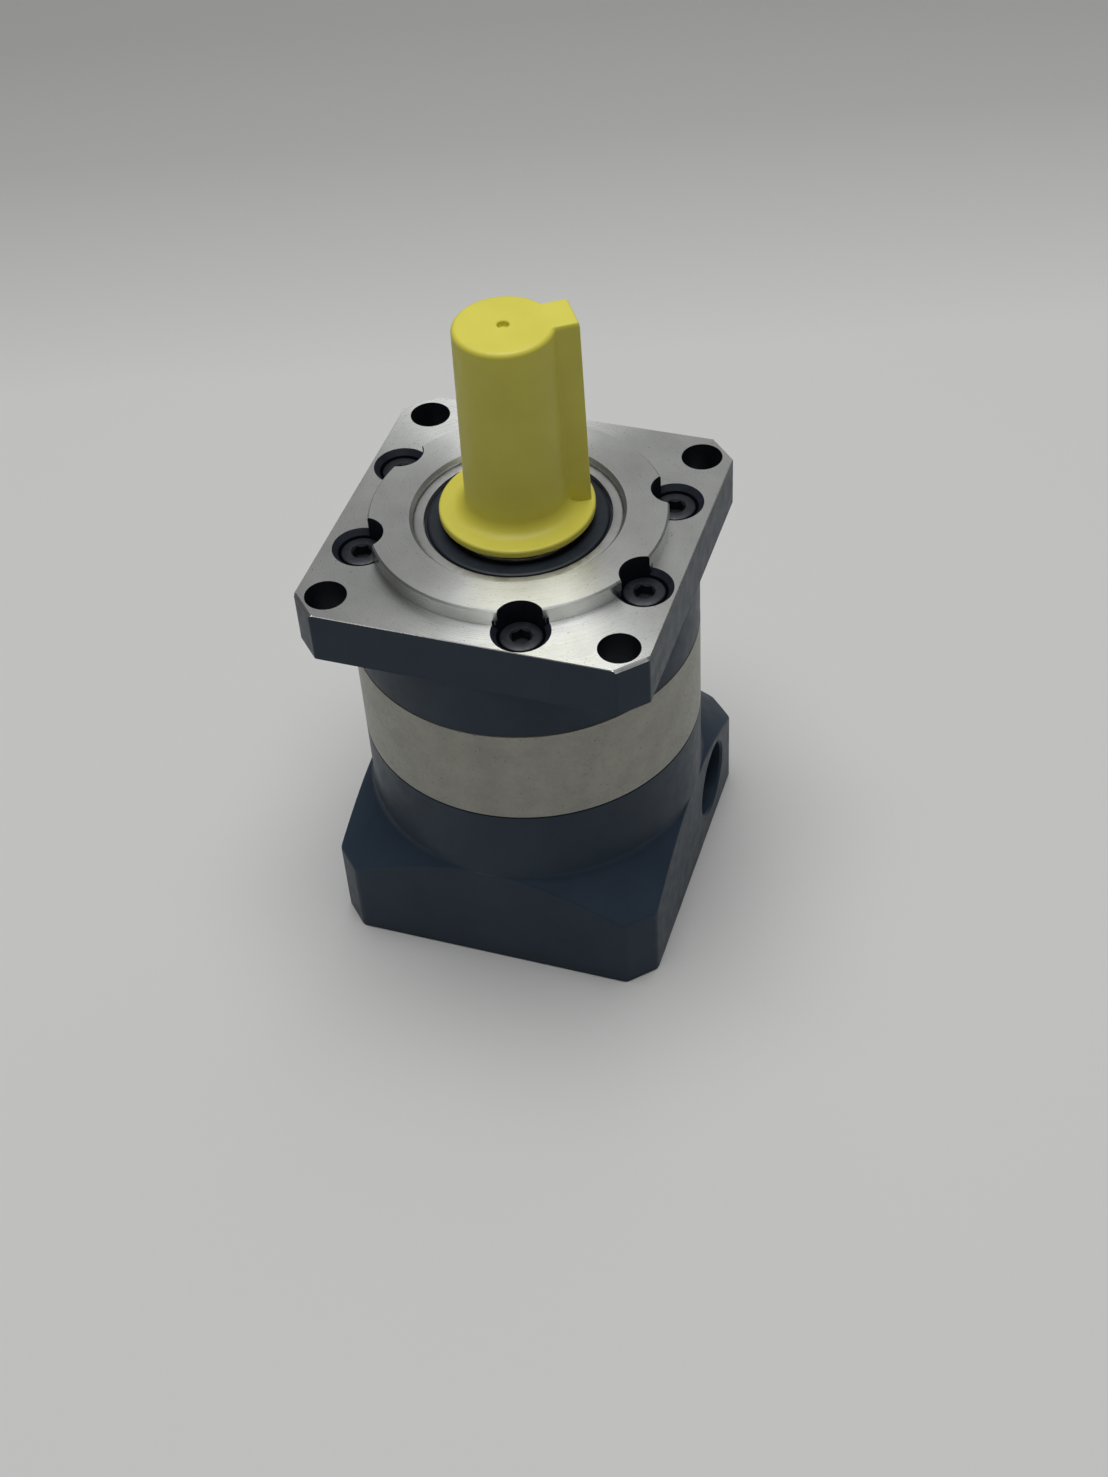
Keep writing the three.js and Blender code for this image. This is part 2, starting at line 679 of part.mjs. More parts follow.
function clampCollar() {
  const z0 = CLAMP_SCREW_Z - COLLAR_HEIGHT / 2;
  const z1 = CLAMP_SCREW_Z + COLLAR_HEIGHT / 2;
  const splitHalf = 0.8;
  const headPocketR = 4.1;
  const threadEnd = -10;
  const screwHoleR = 2.65;
  const [y0, y1] = [HUB_CLAMP_R - OVERSHOOT, COLLAR_R + OVERSHOOT];
  return cut(
    tube(COLLAR_R, HUB_CLAMP_R + FIT_GAP, z0, z1),
    block(-splitHalf, splitHalf, y0, y1, z0 - OVERSHOOT, z1 + OVERSHOOT),
    alongClampLine(disc(headPocketR, CLAMP_HEAD_SEAT, COLLAR_R, SMALL_SIDES)),
    alongClampLine(disc(screwHoleR, threadEnd, CLAMP_HEAD_SEAT + OVERSHOOT, SMALL_SIDES)),
  );
}

function clampScrew() {
  const screw = socketScrew({
    headR: 3.9,
    headHeight: 5,
    r: 2.5,
    seatZ: CLAMP_HEAD_SEAT + 0.05,
    tipZ: -9,
    acrossFlats: 4,
  });
  return alongClampLine(screw);
}

// A lip seal: a stiff outer shell, a web along its bottom and a lip that reaches up along the hub.
function inputSeal() {
  const shell = { outer: 13.9, inner: 12.9, bottom: 22.2, top: 26.7 };
  const webTop = 23.6;
  const lip = { r: HUB_CLAMP_R + 0.2, foot: 10.6, tip: 10.2, top: 25.6 };
  return turned([
    [lip.r, shell.bottom],
    [shell.outer, shell.bottom],
    [shell.outer, shell.top],
    [shell.inner, shell.top],
    [shell.inner, webTop],
    [lip.foot, webTop],
    [lip.tip, lip.top],
    [lip.r, lip.top],
  ]);
}

// ---------- shaft cap ----------

// A straight-sided bulge over the key: its outline in distance from the axis and height, made as wide
// as the bulge is.
function bulge(footReach, headReach, halfWidth, z0, z1) {
  const profile = [[0, z0], [footReach, z0], [headReach, z1], [0, z1]];
  const shape = new THREE.Shape(profile.map(([x, z]) => new THREE.Vector2(x, z)));
  const settings = { depth: 2 * halfWidth, bevelEnabled: false };
  const geometry = new THREE.ExtrudeGeometry(shape, settings).translate(0, 0, -halfWidth);
  return turnAboutZ(solid(geometry.rotateX(Math.PI / 2)), KEY_ANGLE);
}

function shaftCap() {
  const flangeTop = CAP_BOTTOM + CAP_FLANGE_THICKNESS;
  const rimRound = 0.6;
  const footFillet = 1.4;
  const headRound = 0.9;
  const roof = CAP_TOP - CAP_ROOF;
  const outside = turned([
    [0, CAP_BOTTOM],
    [CAP_FLANGE_R, CAP_BOTTOM],
    [CAP_FLANGE_R, flangeTop - rimRound],
    [CAP_FLANGE_R - rimRound, flangeTop],
    [CAP_FOOT_R + footFillet, flangeTop],
    [CAP_FOOT_R, flangeTop + footFillet],
    [CAP_HEAD_R, CAP_TOP - headRound],
    [CAP_HEAD_R - headRound, CAP_TOP],
    [0, CAP_TOP],
  ]);
  const inside = turned([
    [0, CAP_BOTTOM - OVERSHOOT],
    [SHAFT_R + 0.25, CAP_BOTTOM - OVERSHOOT],
    [SHAFT_R + 0.15, roof],
    [0, roof],
  ]);
  const pocketHalf = KEY_WIDTH / 2 + 0.3;
  return cut(
    union(outside, bulge(BULGE_FOOT, BULGE_HEAD, BULGE_HALF_WIDTH, CAP_BOTTOM, CAP_TOP)),
    inside,
    bulge(BULGE_FOOT - BULGE_WALL, BULGE_HEAD - BULGE_WALL, pocketHalf, CAP_BOTTOM - OVERSHOOT, roof),
    disc(CAP_DIMPLE_R, CAP_TOP - CAP_DIMPLE_DEPTH, CAP_TOP + OVERSHOOT, SMALL_SIDES),
  );
}

// ---------- assembly ----------

const reducer = new THREE.Group();
const add = (name, body, material) => reducer.add(part(name, body, MATERIALS[material]));

add("front_housing", frontHousing(), "anodised");
add("ring_gear", ringGear(), "ringSteel");
add("rear_housing", rearHousing(), "anodised");
add("access_plug", accessPlug(), "blackPlastic");
CASE_SCREW_ANGLES.forEach((angle, i) => add(`case_screw_${i + 1}`, caseScrew(angle), "blackScrew"));

add("output_shaft", outputShaft(), "turnedSteel");
add("shaft_key", shaftKey(), "turnedSteel");
add("carrier_plate", carrierPlate(), "turnedSteel");
PLANET_ANGLES.forEach((angle, i) => {
  add(`planet_gear_${i + 1}`, planetGear(angle), "gearSteel");
  add(`planet_bush_${i + 1}`, planetBush(angle), "bronze");
  add(`planet_pin_${i + 1}`, planetPin(angle), "bearingSteel");
  add(`lower_washer_${i + 1}`, thrustWasher(angle, REAR_PLATE_TOP + 0.1), "bronze");
  add(`upper_washer_${i + 1}`, thrustWasher(angle, PLANET_TOP + 0.1), "bronze");
});

const BEARINGS = { front: FRONT_BEARING, rear: REAR_BEARING, input: INPUT_BEARING };
for (const [name, bearing] of Object.entries(BEARINGS)) {
  const ring = name === "front" ? sealedOuterRing(bearing) : outerRing(bearing);
  add(`${name}_bearing_outer_ring`, ring, "bearingSteel");
  add(`${name}_bearing_inner_ring`, innerRing(bearing), "bearingSteel");
  add(`${name}_bearing_cage`, ballCage(bearing), "bearingSteel");
}
const frontTop = FRONT_BEARING.bottom + FRONT_BEARING.width;
add("front_bearing_seal", bearingSeal(frontTop - SEAL_RECESS.depth + FIT_GAP), "rubber");
add("inner_bearing_seal", bearingSeal(FRONT_BEARING.bottom + FACE_GAP), "rubber");
add("housing_retaining_ring", retainingRing(15.5, 13.3, HOUSING_GROOVE, 50), "gearSteel");
add("shaft_retaining_ring", retainingRing(10.6, 8.2, SHAFT_GROOVE, 40), "gearSteel");
add("input_retaining_ring", retainingRing(16.5, 14.2, INPUT_GROOVE, 50), "gearSteel");

add("input_hub", inputHub(), "gearSteel");
add("clamp_collar", clampCollar(), "turnedSteel");
add("clamp_screw", clampScrew(), "blackScrew");
add("input_seal", inputSeal(), "rubber");

add("shaft_cap", shaftCap(), "yellowPlastic");

export default reducer;
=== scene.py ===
"""Looks and fine shapes of the inline gear reducer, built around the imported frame.

Sizes in the constants below are millimetres; everything in Blender is metres, in the frame's axes:
+Z up the shaft, +X towards the side with the access plug, origin at the centre of the motor face.
"""

import json
import math

import bmesh
import bpy
from mathutils import Matrix, Vector


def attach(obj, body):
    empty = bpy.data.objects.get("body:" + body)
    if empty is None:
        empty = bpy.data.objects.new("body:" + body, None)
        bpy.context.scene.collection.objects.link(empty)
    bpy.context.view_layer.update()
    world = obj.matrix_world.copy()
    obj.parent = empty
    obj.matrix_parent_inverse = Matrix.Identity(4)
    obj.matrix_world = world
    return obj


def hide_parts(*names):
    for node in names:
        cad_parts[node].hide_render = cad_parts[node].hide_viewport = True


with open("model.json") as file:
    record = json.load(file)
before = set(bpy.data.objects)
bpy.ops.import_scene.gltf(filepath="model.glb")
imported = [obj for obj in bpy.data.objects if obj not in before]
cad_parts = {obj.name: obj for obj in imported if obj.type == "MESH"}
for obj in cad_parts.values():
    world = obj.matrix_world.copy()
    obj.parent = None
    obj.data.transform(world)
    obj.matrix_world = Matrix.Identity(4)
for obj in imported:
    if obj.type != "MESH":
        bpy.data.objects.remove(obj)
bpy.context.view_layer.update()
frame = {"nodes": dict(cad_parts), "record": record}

# ---------- sizes ----------

MM = 0.001

CASE_R = 30.0
FLANGE_CORNER = 4.25
BASE_HALF = 29.9
BASE_CORNER = 4.6
REAR_TOP = 37.5
RING_TOP = 57.1
FLANGE_BOTTOM = 67.5
FLANGE_TOP = 77.1
PILOT_TOP = 80.1
SHAFT_END = 115.1
CAP_TOP = 116.8
PILOT_R = 25.0
CONE_START = 22.1
CONE_SLOPE = 0.74
BOLT_OFFSET = 24.75
BOLT_CORNERS = [(x, y) for x in (-BOLT_OFFSET, BOLT_OFFSET) for y in (-BOLT_OFFSET, BOLT_OFFSET)]
FLANGE_HOLE_R = 3.5
MOTOR_HOLE_R = 2.1
MOTOR_HOLE_DEPTH = 11.4

CASE_SCREW_CIRCLE = 26.4
CASE_SCREW_ANGLES = (-71, -22, 27, 109, 158, 207)
COUNTERBORE_R = 4.0
COUNTERBORE_FLOOR = 72.2
COUNTERBORE_CHAMFER = 0.9
SCREW_TIP = 28.2
SCREW_CLEARANCE_R = 2.2
TAPPED_R = 2.1

SPIGOT_R = 23.1
SPIGOT_INNER_R = 21.0
SPIGOT_HEIGHT = 1.2

MODULE = 0.9
PRESSURE_ANGLE = math.radians(25)
SUN_TEETH = 12
PLANET_TEETH = 18
RING_TEETH = 48
BACKLASH = 0.06
PLANET_CIRCLE = 13.5
PLANET_ANGLES = (90, 210, 330)
PLANET_BORE_R = 4.5

SHAFT_R = 7.0
JOURNAL_R = 8.5
KEY_WIDTH = 5.0
KEY_FLOOR_R = 4.0
KEY_TOP_R = 9.0
KEY_END = 112.6
KEY_LENGTH = 25.0
KEY_ANGLE = math.radians(33)

BEARING_TOP = 79.1
BEARING_BOTTOM = 69.1
BEARING_R = 17.5
BEARING_FIT = 0.03
BALL_CIRCLE_R = 13.0
BALL_R = 2.38
BALL_GROOVE_R = 2.5
SEAL_RECESS_R = 15.7
SEAL_RECESS = 1.3

SHOULDER_R = 12.6  # the housing's shoulder between the two output bearings
SHOULDER_BOTTOM = 67.9
REAR_SEAT_R = 15.03
HOUSING_GROOVE_R = 15.6
HOUSING_GROOVE = (59.4, 60.7)

INPUT_SEAT_R = 16.03
INPUT_SEAT_BOTTOM = 27.0
INPUT_GROOVE_R = 16.6
INPUT_GROOVE = (34.2, 35.5)
SEAL_SEAT_R = 14.0
SEAL_SEAT_BOTTOM = 22.0
WEB_BORE_R = 11.0
CAVITY_R = 19.5
CAVITY_TOP = 19.0
PILOT_RECESS = 4.0

CAP_BOTTOM = 80.6
CAP_FLANGE_R = 12.95
CAP_FLANGE_TOP = 82.1
CAP_FOOT_R = 8.5
CAP_HEAD_R = 8.15
CAP_ROOF = 1.3
CAP_DIMPLE_R = 0.95
CAP_DIMPLE_DEPTH = 1.0
BULGE_HALF_WIDTH = 3.6
BULGE_FOOT = 11.8
BULGE_HEAD = 11.3
BULGE_ROUND = 0.3
CAP_BLEND = 0.3  # width of the small fillet where the bulge leaves the tube
CAP_SIDES = 360

CLAMP_SCREW_Y = 12.3
CLAMP_SCREW_Z = 11.5
ACCESS_R = 7.0
ACCESS_INNER = 17.0
PLUG_FACE = 27.3
PLUG_BACK = 22.3

HUB_BOTTOM = 6.0
HUB_CLAMP_R = 9.0
HUB_BORE_R = 7.0
HUB_SLOT_TOP = 18.5
COLLAR_R = 17.5
COLLAR_HALF_HEIGHT = 4.5
CLAMP_HEAD_SEAT = 3.5

OVER = 1.0  # how far a cutter reaches past the face that it opens
SHARP_TURN = math.radians(28)  # edges that turn by less are shaded smooth

# ---------- meshes ----------


def skin(name, rows, bands=None, closed=True):
    """A surface over rows of points, each row a loop. A closed skin joins its last row to its first;
    an open one is capped at both ends. bands gives each band's material slot."""
    mesh = bpy.data.meshes.new(name)
    work = bmesh.new()
    verts = [[work.verts.new(Vector(p) * MM) for p in row] for row in rows]
    count = len(rows[0])
    last = len(rows) if closed else len(rows) - 1
    for j in range(last):
        low, high = verts[j], verts[(j + 1) % len(rows)]
        for i in range(count):
            k = (i + 1) % count
            face = work.faces.new((low[i], low[k], high[k], high[i]))
            face.material_index = bands[j] if bands else 0
    if not closed:
        work.faces.new(reversed(verts[0]))
        work.faces.new(verts[-1])
    bmesh.ops.remove_doubles(work, verts=work.verts, dist=1e-7)
    bmesh.ops.dissolve_degenerate(work, edges=work.edges, dist=1e-8)
    loose = [edge for edge in work.edges if not edge.link_faces]
    bmesh.ops.delete(work, geom=loose, context="EDGES")
    bmesh.ops.recalc_face_normals(work, faces=work.faces)
    work.to_mesh(mesh)
    work.free()
    piece = bpy.data.objects.new(name, mesh)
    bpy.context.collection.objects.link(piece)
    return piece


def ring_angles(sides):
    return [2 * math.pi * i / sides for i in range(sides)]


def lathe(name, profile, sides=96, bands=None):
    """A solid turned about Z from a closed loop of (radius, height) points."""
    angles = ring_angles(sides)
    rows = [[(r * math.cos(a), r * math.sin(a), z) for a in angles] for r, z in profile]
    return skin(name, rows, bands)


def hole(r, z0, z1, sides=64):
    return lathe("hole", [(0, z0), (r, z0), (r, z1), (0, z1)], sides)


def corner_arc(before, here, after, radius, steps):
    """The points of an arc that rounds the corner at here, kept within half of each side."""
    here = Vector(here)
    back, ahead = Vector(before) - here, Vector(after) - here
    reach = min(back.length, ahead.length) * 0.49
    back.normalize()
    ahead.normalize()
    half = math.acos(max(-1.0, min(1.0, back.dot(ahead)))) / 2
    tangent = min(radius / math.tan(half), reach) if half > 1e-4 else 0.0
    if tangent < 1e-5 or abs(half - math.pi / 2) < 1e-4:
        return [tuple(here)] * (steps + 1)
    radius = tangent * math.tan(half)
    centre = here + (back + ahead).normalized() * (radius / math.sin(half))
    start, end = here + back * tangent - centre, here + ahead * tangent - centre
    first = math.atan2(start.y, start.x)
    turn = (math.atan2(end.y, end.x) - first + math.pi) % (2 * math.pi) - math.pi
    angles = [first + turn * i / steps for i in range(steps + 1)]
    return [(centre.x + radius * math.cos(a), centre.y + radius * math.sin(a)) for a in angles]


def eased(points, steps=4):
    """A closed outline or profile of (x, y) or (x, y, radius) points with its corners rounded."""
    result = []
    for i, point in enumerate(points):
        if len(point) == 2:
            result.append(tuple(point))
            continue
        before, after = points[i - 1][:2], points[(i + 1) % len(points)][:2]
        result.extend(corner_arc(before, point[:2], after, point[2], steps))
    return result


def prism(name, outline, z0, z1):
    return skin(name, [[(x, y, z) for x, y in outline] for z in (z0, z1)], closed=False)


def placed(piece, matrix):
    """The piece with its mesh moved, in millimetres, and its origin left where it is."""
    move = matrix.copy()
    move.translation *= MM
    piece.data.transform(move)
    return piece


def polar(radius, degrees):
    turn = Matrix.Rotation(math.radians(degrees), 4, "Z")
    return turn @ Matrix.Translation((radius, 0, 0))


CLAMP_LINE = Matrix.Translation((0, CLAMP_SCREW_Y, CLAMP_SCREW_Z)) @ Matrix.Rotation(math.pi / 2, 4, "Y")
KEY_TURN = Matrix.Rotation(KEY_ANGLE, 4, "Z")


def copy_of(piece, name):
    copy = bpy.data.objects.new(name, piece.data.copy())
    bpy.context.collection.objects.link(copy)
    return copy


def join(name, pieces):
    work = bmesh.new()
    for piece in pieces:
        work.from_mesh(piece.data)
        bpy.data.objects.remove(piece)
    mesh = bpy.data.meshes.new(name)
    work.to_mesh(mesh)
    work.free()
    result = bpy.data.objects.new(name, mesh)
    bpy.context.collection.objects.link(result)
    return result


def carve(piece, *cutters, how="DIFFERENCE"):
    """Cut the cutters, which don't touch each other, out of the piece in one exact boolean."""
    tool = join("cutter", cutters) if len(cutters) > 1 else cutters[0]
    cut = piece.modifiers.new("cut", "BOOLEAN")
    cut.operation = how
    cut.solver = "EXACT"
    cut.object = tool
    bpy.context.view_layer.update()
    graph = bpy.context.evaluated_depsgraph_get()
    mesh = bpy.data.meshes.new_from_object(piece.evaluated_get(graph))
    piece.modifiers.clear()
    piece.data = mesh
    bpy.data.objects.remove(tool)
    return piece


def set_edges(piece):
    """Smooth shading, with the edges that turn sharply kept sharp."""
    work = bmesh.new()
    work.from_mesh(piece.data)
    bmesh.ops.remove_doubles(work, verts=work.verts, dist=1e-7)
    for face in work.faces:
        face.smooth = True
    for edge in work.edges:
        edge.smooth = edge.calc_face_angle(0.0) < SHARP_TURN
    work.to_mesh(piece.data)
    work.free()


BODY_OF = {node: body for body, nodes in frame["record"]["behaviour"]["bodies"].items() for node in nodes}


def stands_for(piece, node, slot, *materials, extra=()):
    """Finish a piece that stands for a CAD node: its shading, materials and body; the slot argument is not
    used.
    """
    set_edges(piece)
    for i, material in enumerate(materials):
        if i < len(piece.data.materials):
            piece.data.materials[i] = material
        else:
            piece.data.materials.append(material)
    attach(piece, BODY_OF[node])
    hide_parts(node, *extra)
    return piece


# ---------- materials ----------


class Shader:
    """A material's node tree around its Principled shader, with short ways to add textures."""

    def __init__(self, name, color, metallic, roughness, **sockets):
        self.material = bpy.data.materials.new(name)
        self.material.use_nodes = True
        self.tree = self.material.node_tree
        self.bsdf = self.tree.nodes["Principled BSDF"]
        self.set("Base Color", (*color, 1))
        self.set("Metallic", metallic)
        self.set("Roughness", roughness)
        for socket, value in sockets.items():
            self.set(socket.replace("_", " "), value)
        self.place = self.node("ShaderNodeTexCoord").outputs["Object"]
        self.normal = None

    def set(self, socket, value):
        self.bsdf.inputs[socket].default_value = value

    def node(self, kind, **settings):
        made = self.tree.nodes.new(kind)
        for key, value in settings.items():
            setattr(made, key, value)
        return made

    def link(self, source, target):
        self.tree.links.new(source, target)

    def noise(self, grain_mm, detail=3.0, stretch=(1, 1, 1)):
        """Noise with grains of about this size; stretch makes them longer along an axis."""
        mapping = self.node("ShaderNodeMapping")
        scale = 1 / (grain_mm * MM)
        mapping.inputs["Scale"].default_value = [scale / s for s in stretch]
        self.link(self.place, mapping.inputs["Vector"])
        texture = self.node("ShaderNodeTexNoise")
        texture.inputs["Scale"].default_value = 1
        texture.inputs["Detail"].default_value = detail
        self.link(mapping.outputs["Vector"], texture.inputs["Vector"])
        return texture.outputs["Fac"]

    def turning(self, pitch_mm, across=True):
        """The marks of a lathe tool: rings by radius across a face, or lines by height along a wall."""
        split = self.node("ShaderNodeSeparateXYZ")
        self.link(self.place, split.inputs["Vector"])
        source = split.outputs["Z"]
        if across:
            flat = self.node("ShaderNodeCombineXYZ")
            self.link(split.outputs["X"], flat.inputs["X"])
            self.link(split.outputs["Y"], flat.inputs["Y"])
            length = self.node("ShaderNodeVectorMath", operation="LENGTH")
            self.link(flat.outputs["Vector"], length.inputs[0])
            source = length.outputs["Value"]
        texture = self.node("ShaderNodeTexNoise", noise_dimensions="1D")
        texture.inputs["Scale"].default_value = 1 / (pitch_mm * MM)
        texture.inputs["Detail"].default_value = 2
        self.link(source, texture.inputs["W"])
        return texture.outputs["Fac"]

    def ramp(self, source, low, high, start=0.3, end=0.7):
        """The source spread from one number or colour to another."""
        if isinstance(low, tuple):
            ramp = self.node("ShaderNodeValToRGB")
            ramp.color_ramp.elements[0].position = start
            ramp.color_ramp.elements[0].color = (*low, 1)
            ramp.color_ramp.elements[1].position = end
            ramp.color_ramp.elements[1].color = (*high, 1)
            self.link(source, ramp.inputs["Fac"])
            return ramp.outputs["Color"]
        ramp = self.node("ShaderNodeMapRange")
        for socket, value in (("From Min", start), ("From Max", end), ("To Min", low), ("To Max", high)):
            ramp.inputs[socket].default_value = value
        self.link(source, ramp.inputs["Value"])
        return ramp.outputs["Result"]

    def multiply(self, first, second):
        mix = self.node("ShaderNodeMix", data_type="RGBA", blend_type="MULTIPLY")
        mix.inputs["Factor"].default_value = 1
        self.link(first, mix.inputs[6])
        self.link(second, mix.inputs[7])
        return mix.outputs[2]

    def color(self, source):
        self.link(source, self.bsdf.inputs["Base Color"])

    def roughness(self, source):
        self.link(source, self.bsdf.inputs["Roughness"])

    def bump(self, height, depth_mm):
        bump = self.node("ShaderNodeBump")
        bump.inputs["Distance"].default_value = depth_mm * MM
        bump.inputs["Strength"].default_value = 1
        self.link(height, bump.inputs["Height"])
        if self.normal:
            self.link(self.normal, bump.inputs["Normal"])
        self.normal = bump.outputs["Normal"]
        self.link(self.normal, self.bsdf.inputs["Normal"])

    def grooves_about_axis(self):
        """Turn the shader's anisotropy along the tool marks, round the Z axis."""
        self.set("Anisotropic Rotation", 0.25)
        tangent = self.node("ShaderNodeTangent", direction_type="RADIAL", axis="Z")
        self.link(tangent.outputs["Tangent"], self.bsdf.inputs["Tangent"])


def anodised_aluminium():
    shader = Shader("anodised_aluminium", (0.031, 0.047, 0.071), 0.0, 0.4, IOR=1.24)
    cloud = shader.noise(9, 4)
    shader.color(shader.ramp(cloud, (0.028, 0.043, 0.065), (0.034, 0.051, 0.077)))
    shader.roughness(shader.ramp(shader.noise(2.5, 5), 0.33, 0.45))
    shader.bump(shader.noise(0.22, 2), 0.006)
    shader.bump(shader.turning(0.25, across=False), 0.003)
    return shader.material


def bore_painted_shade():
    """Drilled and counterbored surfaces under the same anodising, duller, with painted shade: a colour far
    darker than the outer faces, standing for the shade inside the holes.
    """
    shader = Shader("bore_painted_shade", (0.013, 0.016, 0.023), 0.0, 0.5, IOR=1.24)
    # Painted shade: these colours, well below the outer anodising's, stand for the shade in the holes.
    shader.color(shader.ramp(shader.noise(3, 4), (0.010, 0.0125, 0.018), (0.016, 0.020, 0.029)))
    shader.roughness(shader.ramp(shader.noise(1.5, 3), 0.42, 0.56))
    shader.bump(shader.noise(0.2, 2), 0.005)
    return shader.material


def machined_aluminium():
    shader = Shader("machined_aluminium", (0.75, 0.75, 0.72), 1.0, 0.3, Anisotropic=0.84)
    rings = shader.turning(0.12)
    specks = shader.ramp(shader.noise(0.35, 1), (0.45, 0.45, 0.44), (1, 1, 1), 0.24, 0.30)
    stains = shader.ramp(shader.noise(6, 5), (0.66, 0.67, 0.65), (0.77, 0.78, 0.755))
    shader.color(shader.multiply(stains, specks))
    shader.roughness(shader.ramp(rings, 0.27, 0.37))
    shader.bump(rings, 0.0025)
    shader.grooves_about_axis()
    return shader.material


def ring_steel():
    shader = Shader("ring_steel", (0.33, 0.31, 0.28), 1.0, 0.42)
    patches = shader.ramp(shader.noise(5, 6), (0.262, 0.256, 0.228), (0.312, 0.306, 0.272))
    pits = shader.ramp(shader.noise(0.36, 1), (0.35, 0.34, 0.32), (1, 1, 1), 0.23, 0.28)
    shader.color(shader.multiply(patches, pits))
    shader.roughness(shader.ramp(shader.noise(0.8, 4), 0.36, 0.50))
    shader.bump(shader.noise(0.22, 3), 0.012)
    shader.bump(shader.noise(0.3, 2, stretch=(1, 1, 0.12)), 0.006)
    return shader.material


def bright_steel(name, color, low, high):
    shader = Shader(name, color, 1.0, (low + high) / 2, Anisotropic=0.5)
    dim = tuple(c * 0.86 for c in color)
    shader.color(shader.ramp(shader.noise(4, 4), dim, color))
    shader.roughness(shader.ramp(shader.noise(1.2, 3), low, high))
    shader.bump(shader.turning(0.1), 0.002)
    shader.grooves_about_axis()
    return shader.material


def gear_steel():
    shader = Shader("gear_steel", (0.30, 0.31, 0.32), 1.0, 0.38)
    shader.color(shader.ramp(shader.noise(3, 4), (0.24, 0.25, 0.26), (0.36, 0.365, 0.37)))
    shader.roughness(shader.ramp(shader.noise(0.6, 3), 0.28, 0.45))
    shader.bump(shader.noise(0.2, 2), 0.004)
    return shader.material


def black_oxide():
    shader = Shader("black_oxide", (0.016, 0.019, 0.024), 0.4, 0.42)
    shader.color(shader.ramp(shader.noise(1.5, 4), (0.009, 0.011, 0.015), (0.020, 0.024, 0.031)))
    shader.roughness(shader.ramp(shader.noise(0.6, 3), 0.34, 0.5))
    shader.bump(shader.noise(0.15, 2), 0.006)
    return shader.material


def seal_rubber():
    shader = Shader("seal_rubber", (0.014, 0.018, 0.025), 0.0, 0.5, IOR=1.36)
    shader.color(shader.ramp(shader.noise(4, 3), (0.010, 0.014, 0.020), (0.016, 0.022, 0.030)))
    shader.roughness(shader.ramp(shader.noise(1, 3), 0.42, 0.56))
    shader.bump(shader.noise(0.3, 2), 0.006)
    return shader.material


def bronze():
    shader = Shader("bronze", (0.42, 0.25, 0.10), 1.0, 0.4)
    shader.color(shader.ramp(shader.noise(2, 4), (0.34, 0.20, 0.08), (0.46, 0.28, 0.12)))
    shader.roughness(shader.ramp(shader.noise(0.8, 3), 0.32, 0.5))
    return shader.material


def yellow_plastic():
    shader = Shader("yellow_plastic", (0.72, 0.65, 0.07), 0.0, 0.5, Subsurface_Weight=0.08)
    shader.set("Subsurface Radius", (0.002, 0.0016, 0.0005))
    shader.set("Subsurface Scale", 1.0)
    shader.color(shader.ramp(shader.noise(8, 4), (0.645, 0.585, 0.070), (0.69, 0.63, 0.084)))
    shader.roughness(shader.ramp(shader.noise(1.5, 4), 0.42, 0.56))
    shader.bump(shader.noise(0.25, 3), 0.008)
    return shader.material


def black_plastic():
    shader = Shader("black_plastic", (0.016, 0.018, 0.022), 0.0, 0.5)
    shader.color(shader.ramp(shader.noise(3, 3), (0.012, 0.014, 0.018), (0.021, 0.024, 0.028)))
    shader.roughness(shader.ramp(shader.noise(0.7, 3), 0.42, 0.58))
    shader.bump(shader.noise(0.25, 2), 0.008)
    return shader.material


# Painted shade on the floor: it darkens behind the object.
FLOOR_FADE = 0.6  # metres from the object's axis to the end of the fade
# Metres behind the axis, and the floor's brightness there, darker further back as painted shade.
FLOOR_PAINTED_SHADE = ((0.155, 0.63), (0.20, 0.54), (0.26, 0.43), (0.33, 0.37), (0.6, 0.33))


def floor_paint_with_painted_shade():
    """Pale paint with painted shade: it dims gently behind the object, where the floor stands for a backdrop
    turning away from the lamps.
    """
    shader = Shader("floor_paint_with_painted_shade", (0.62, 0.625, 0.61), 0.0, 0.8)
    along = shader.node("ShaderNodeVectorMath", operation="DOT_PRODUCT")
    along.inputs[1].default_value = (-0.354, 0.935, 0)
    shader.link(shader.place, along.inputs[0])
    reach = shader.ramp(along.outputs["Value"], 0.0, 1.0, 0.0, FLOOR_FADE)
    ramp = shader.node("ShaderNodeValToRGB")
    elements = ramp.color_ramp.elements
    while len(elements) < len(FLOOR_PAINTED_SHADE):
        elements.new(0.5)
    for element, (distance, shade) in zip(elements, FLOOR_PAINTED_SHADE):
        element.position = distance / FLOOR_FADE
        element.color = (shade, shade * 1.008, shade * 0.985, 1)
    shader.link(reach, ramp.inputs["Fac"])
    shader.color(ramp.outputs["Color"])
    return shader.material


ANODISED = anodised_aluminium()
BORE_PAINTED_SHADE = bore_painted_shade()
MACHINED = machined_aluminium()
RING_STEEL = ring_steel()
BEARING_STEEL = bright_steel("bearing_steel", (0.58, 0.58, 0.57), 0.30, 0.42)
TURNED_STEEL = bright_steel("turned_steel", (0.52, 0.52, 0.50), 0.24, 0.38)
GEAR_STEEL = gear_steel()
BLACK_OXIDE = black_oxide()
RUBBER = seal_rubber()
BRONZE = bronze()
YELLOW = yellow_plastic()
BLACK_PLASTIC = black_plastic()

SLOT_MATERIALS = {
    "anodised": ANODISED,
    "ring_steel": RING_STEEL,
    "bearing_steel": BEARING_STEEL,
    "turned_steel": TURNED_STEEL,
    "gear_steel": GEAR_STEEL,
    "black_screw": BLACK_OXIDE,
    "rubber": RUBBER,
    "bronze": BRONZE,
    "yellow_plastic": YELLOW,
    "black_plastic": BLACK_PLASTIC,
}

# ---------- case ----------


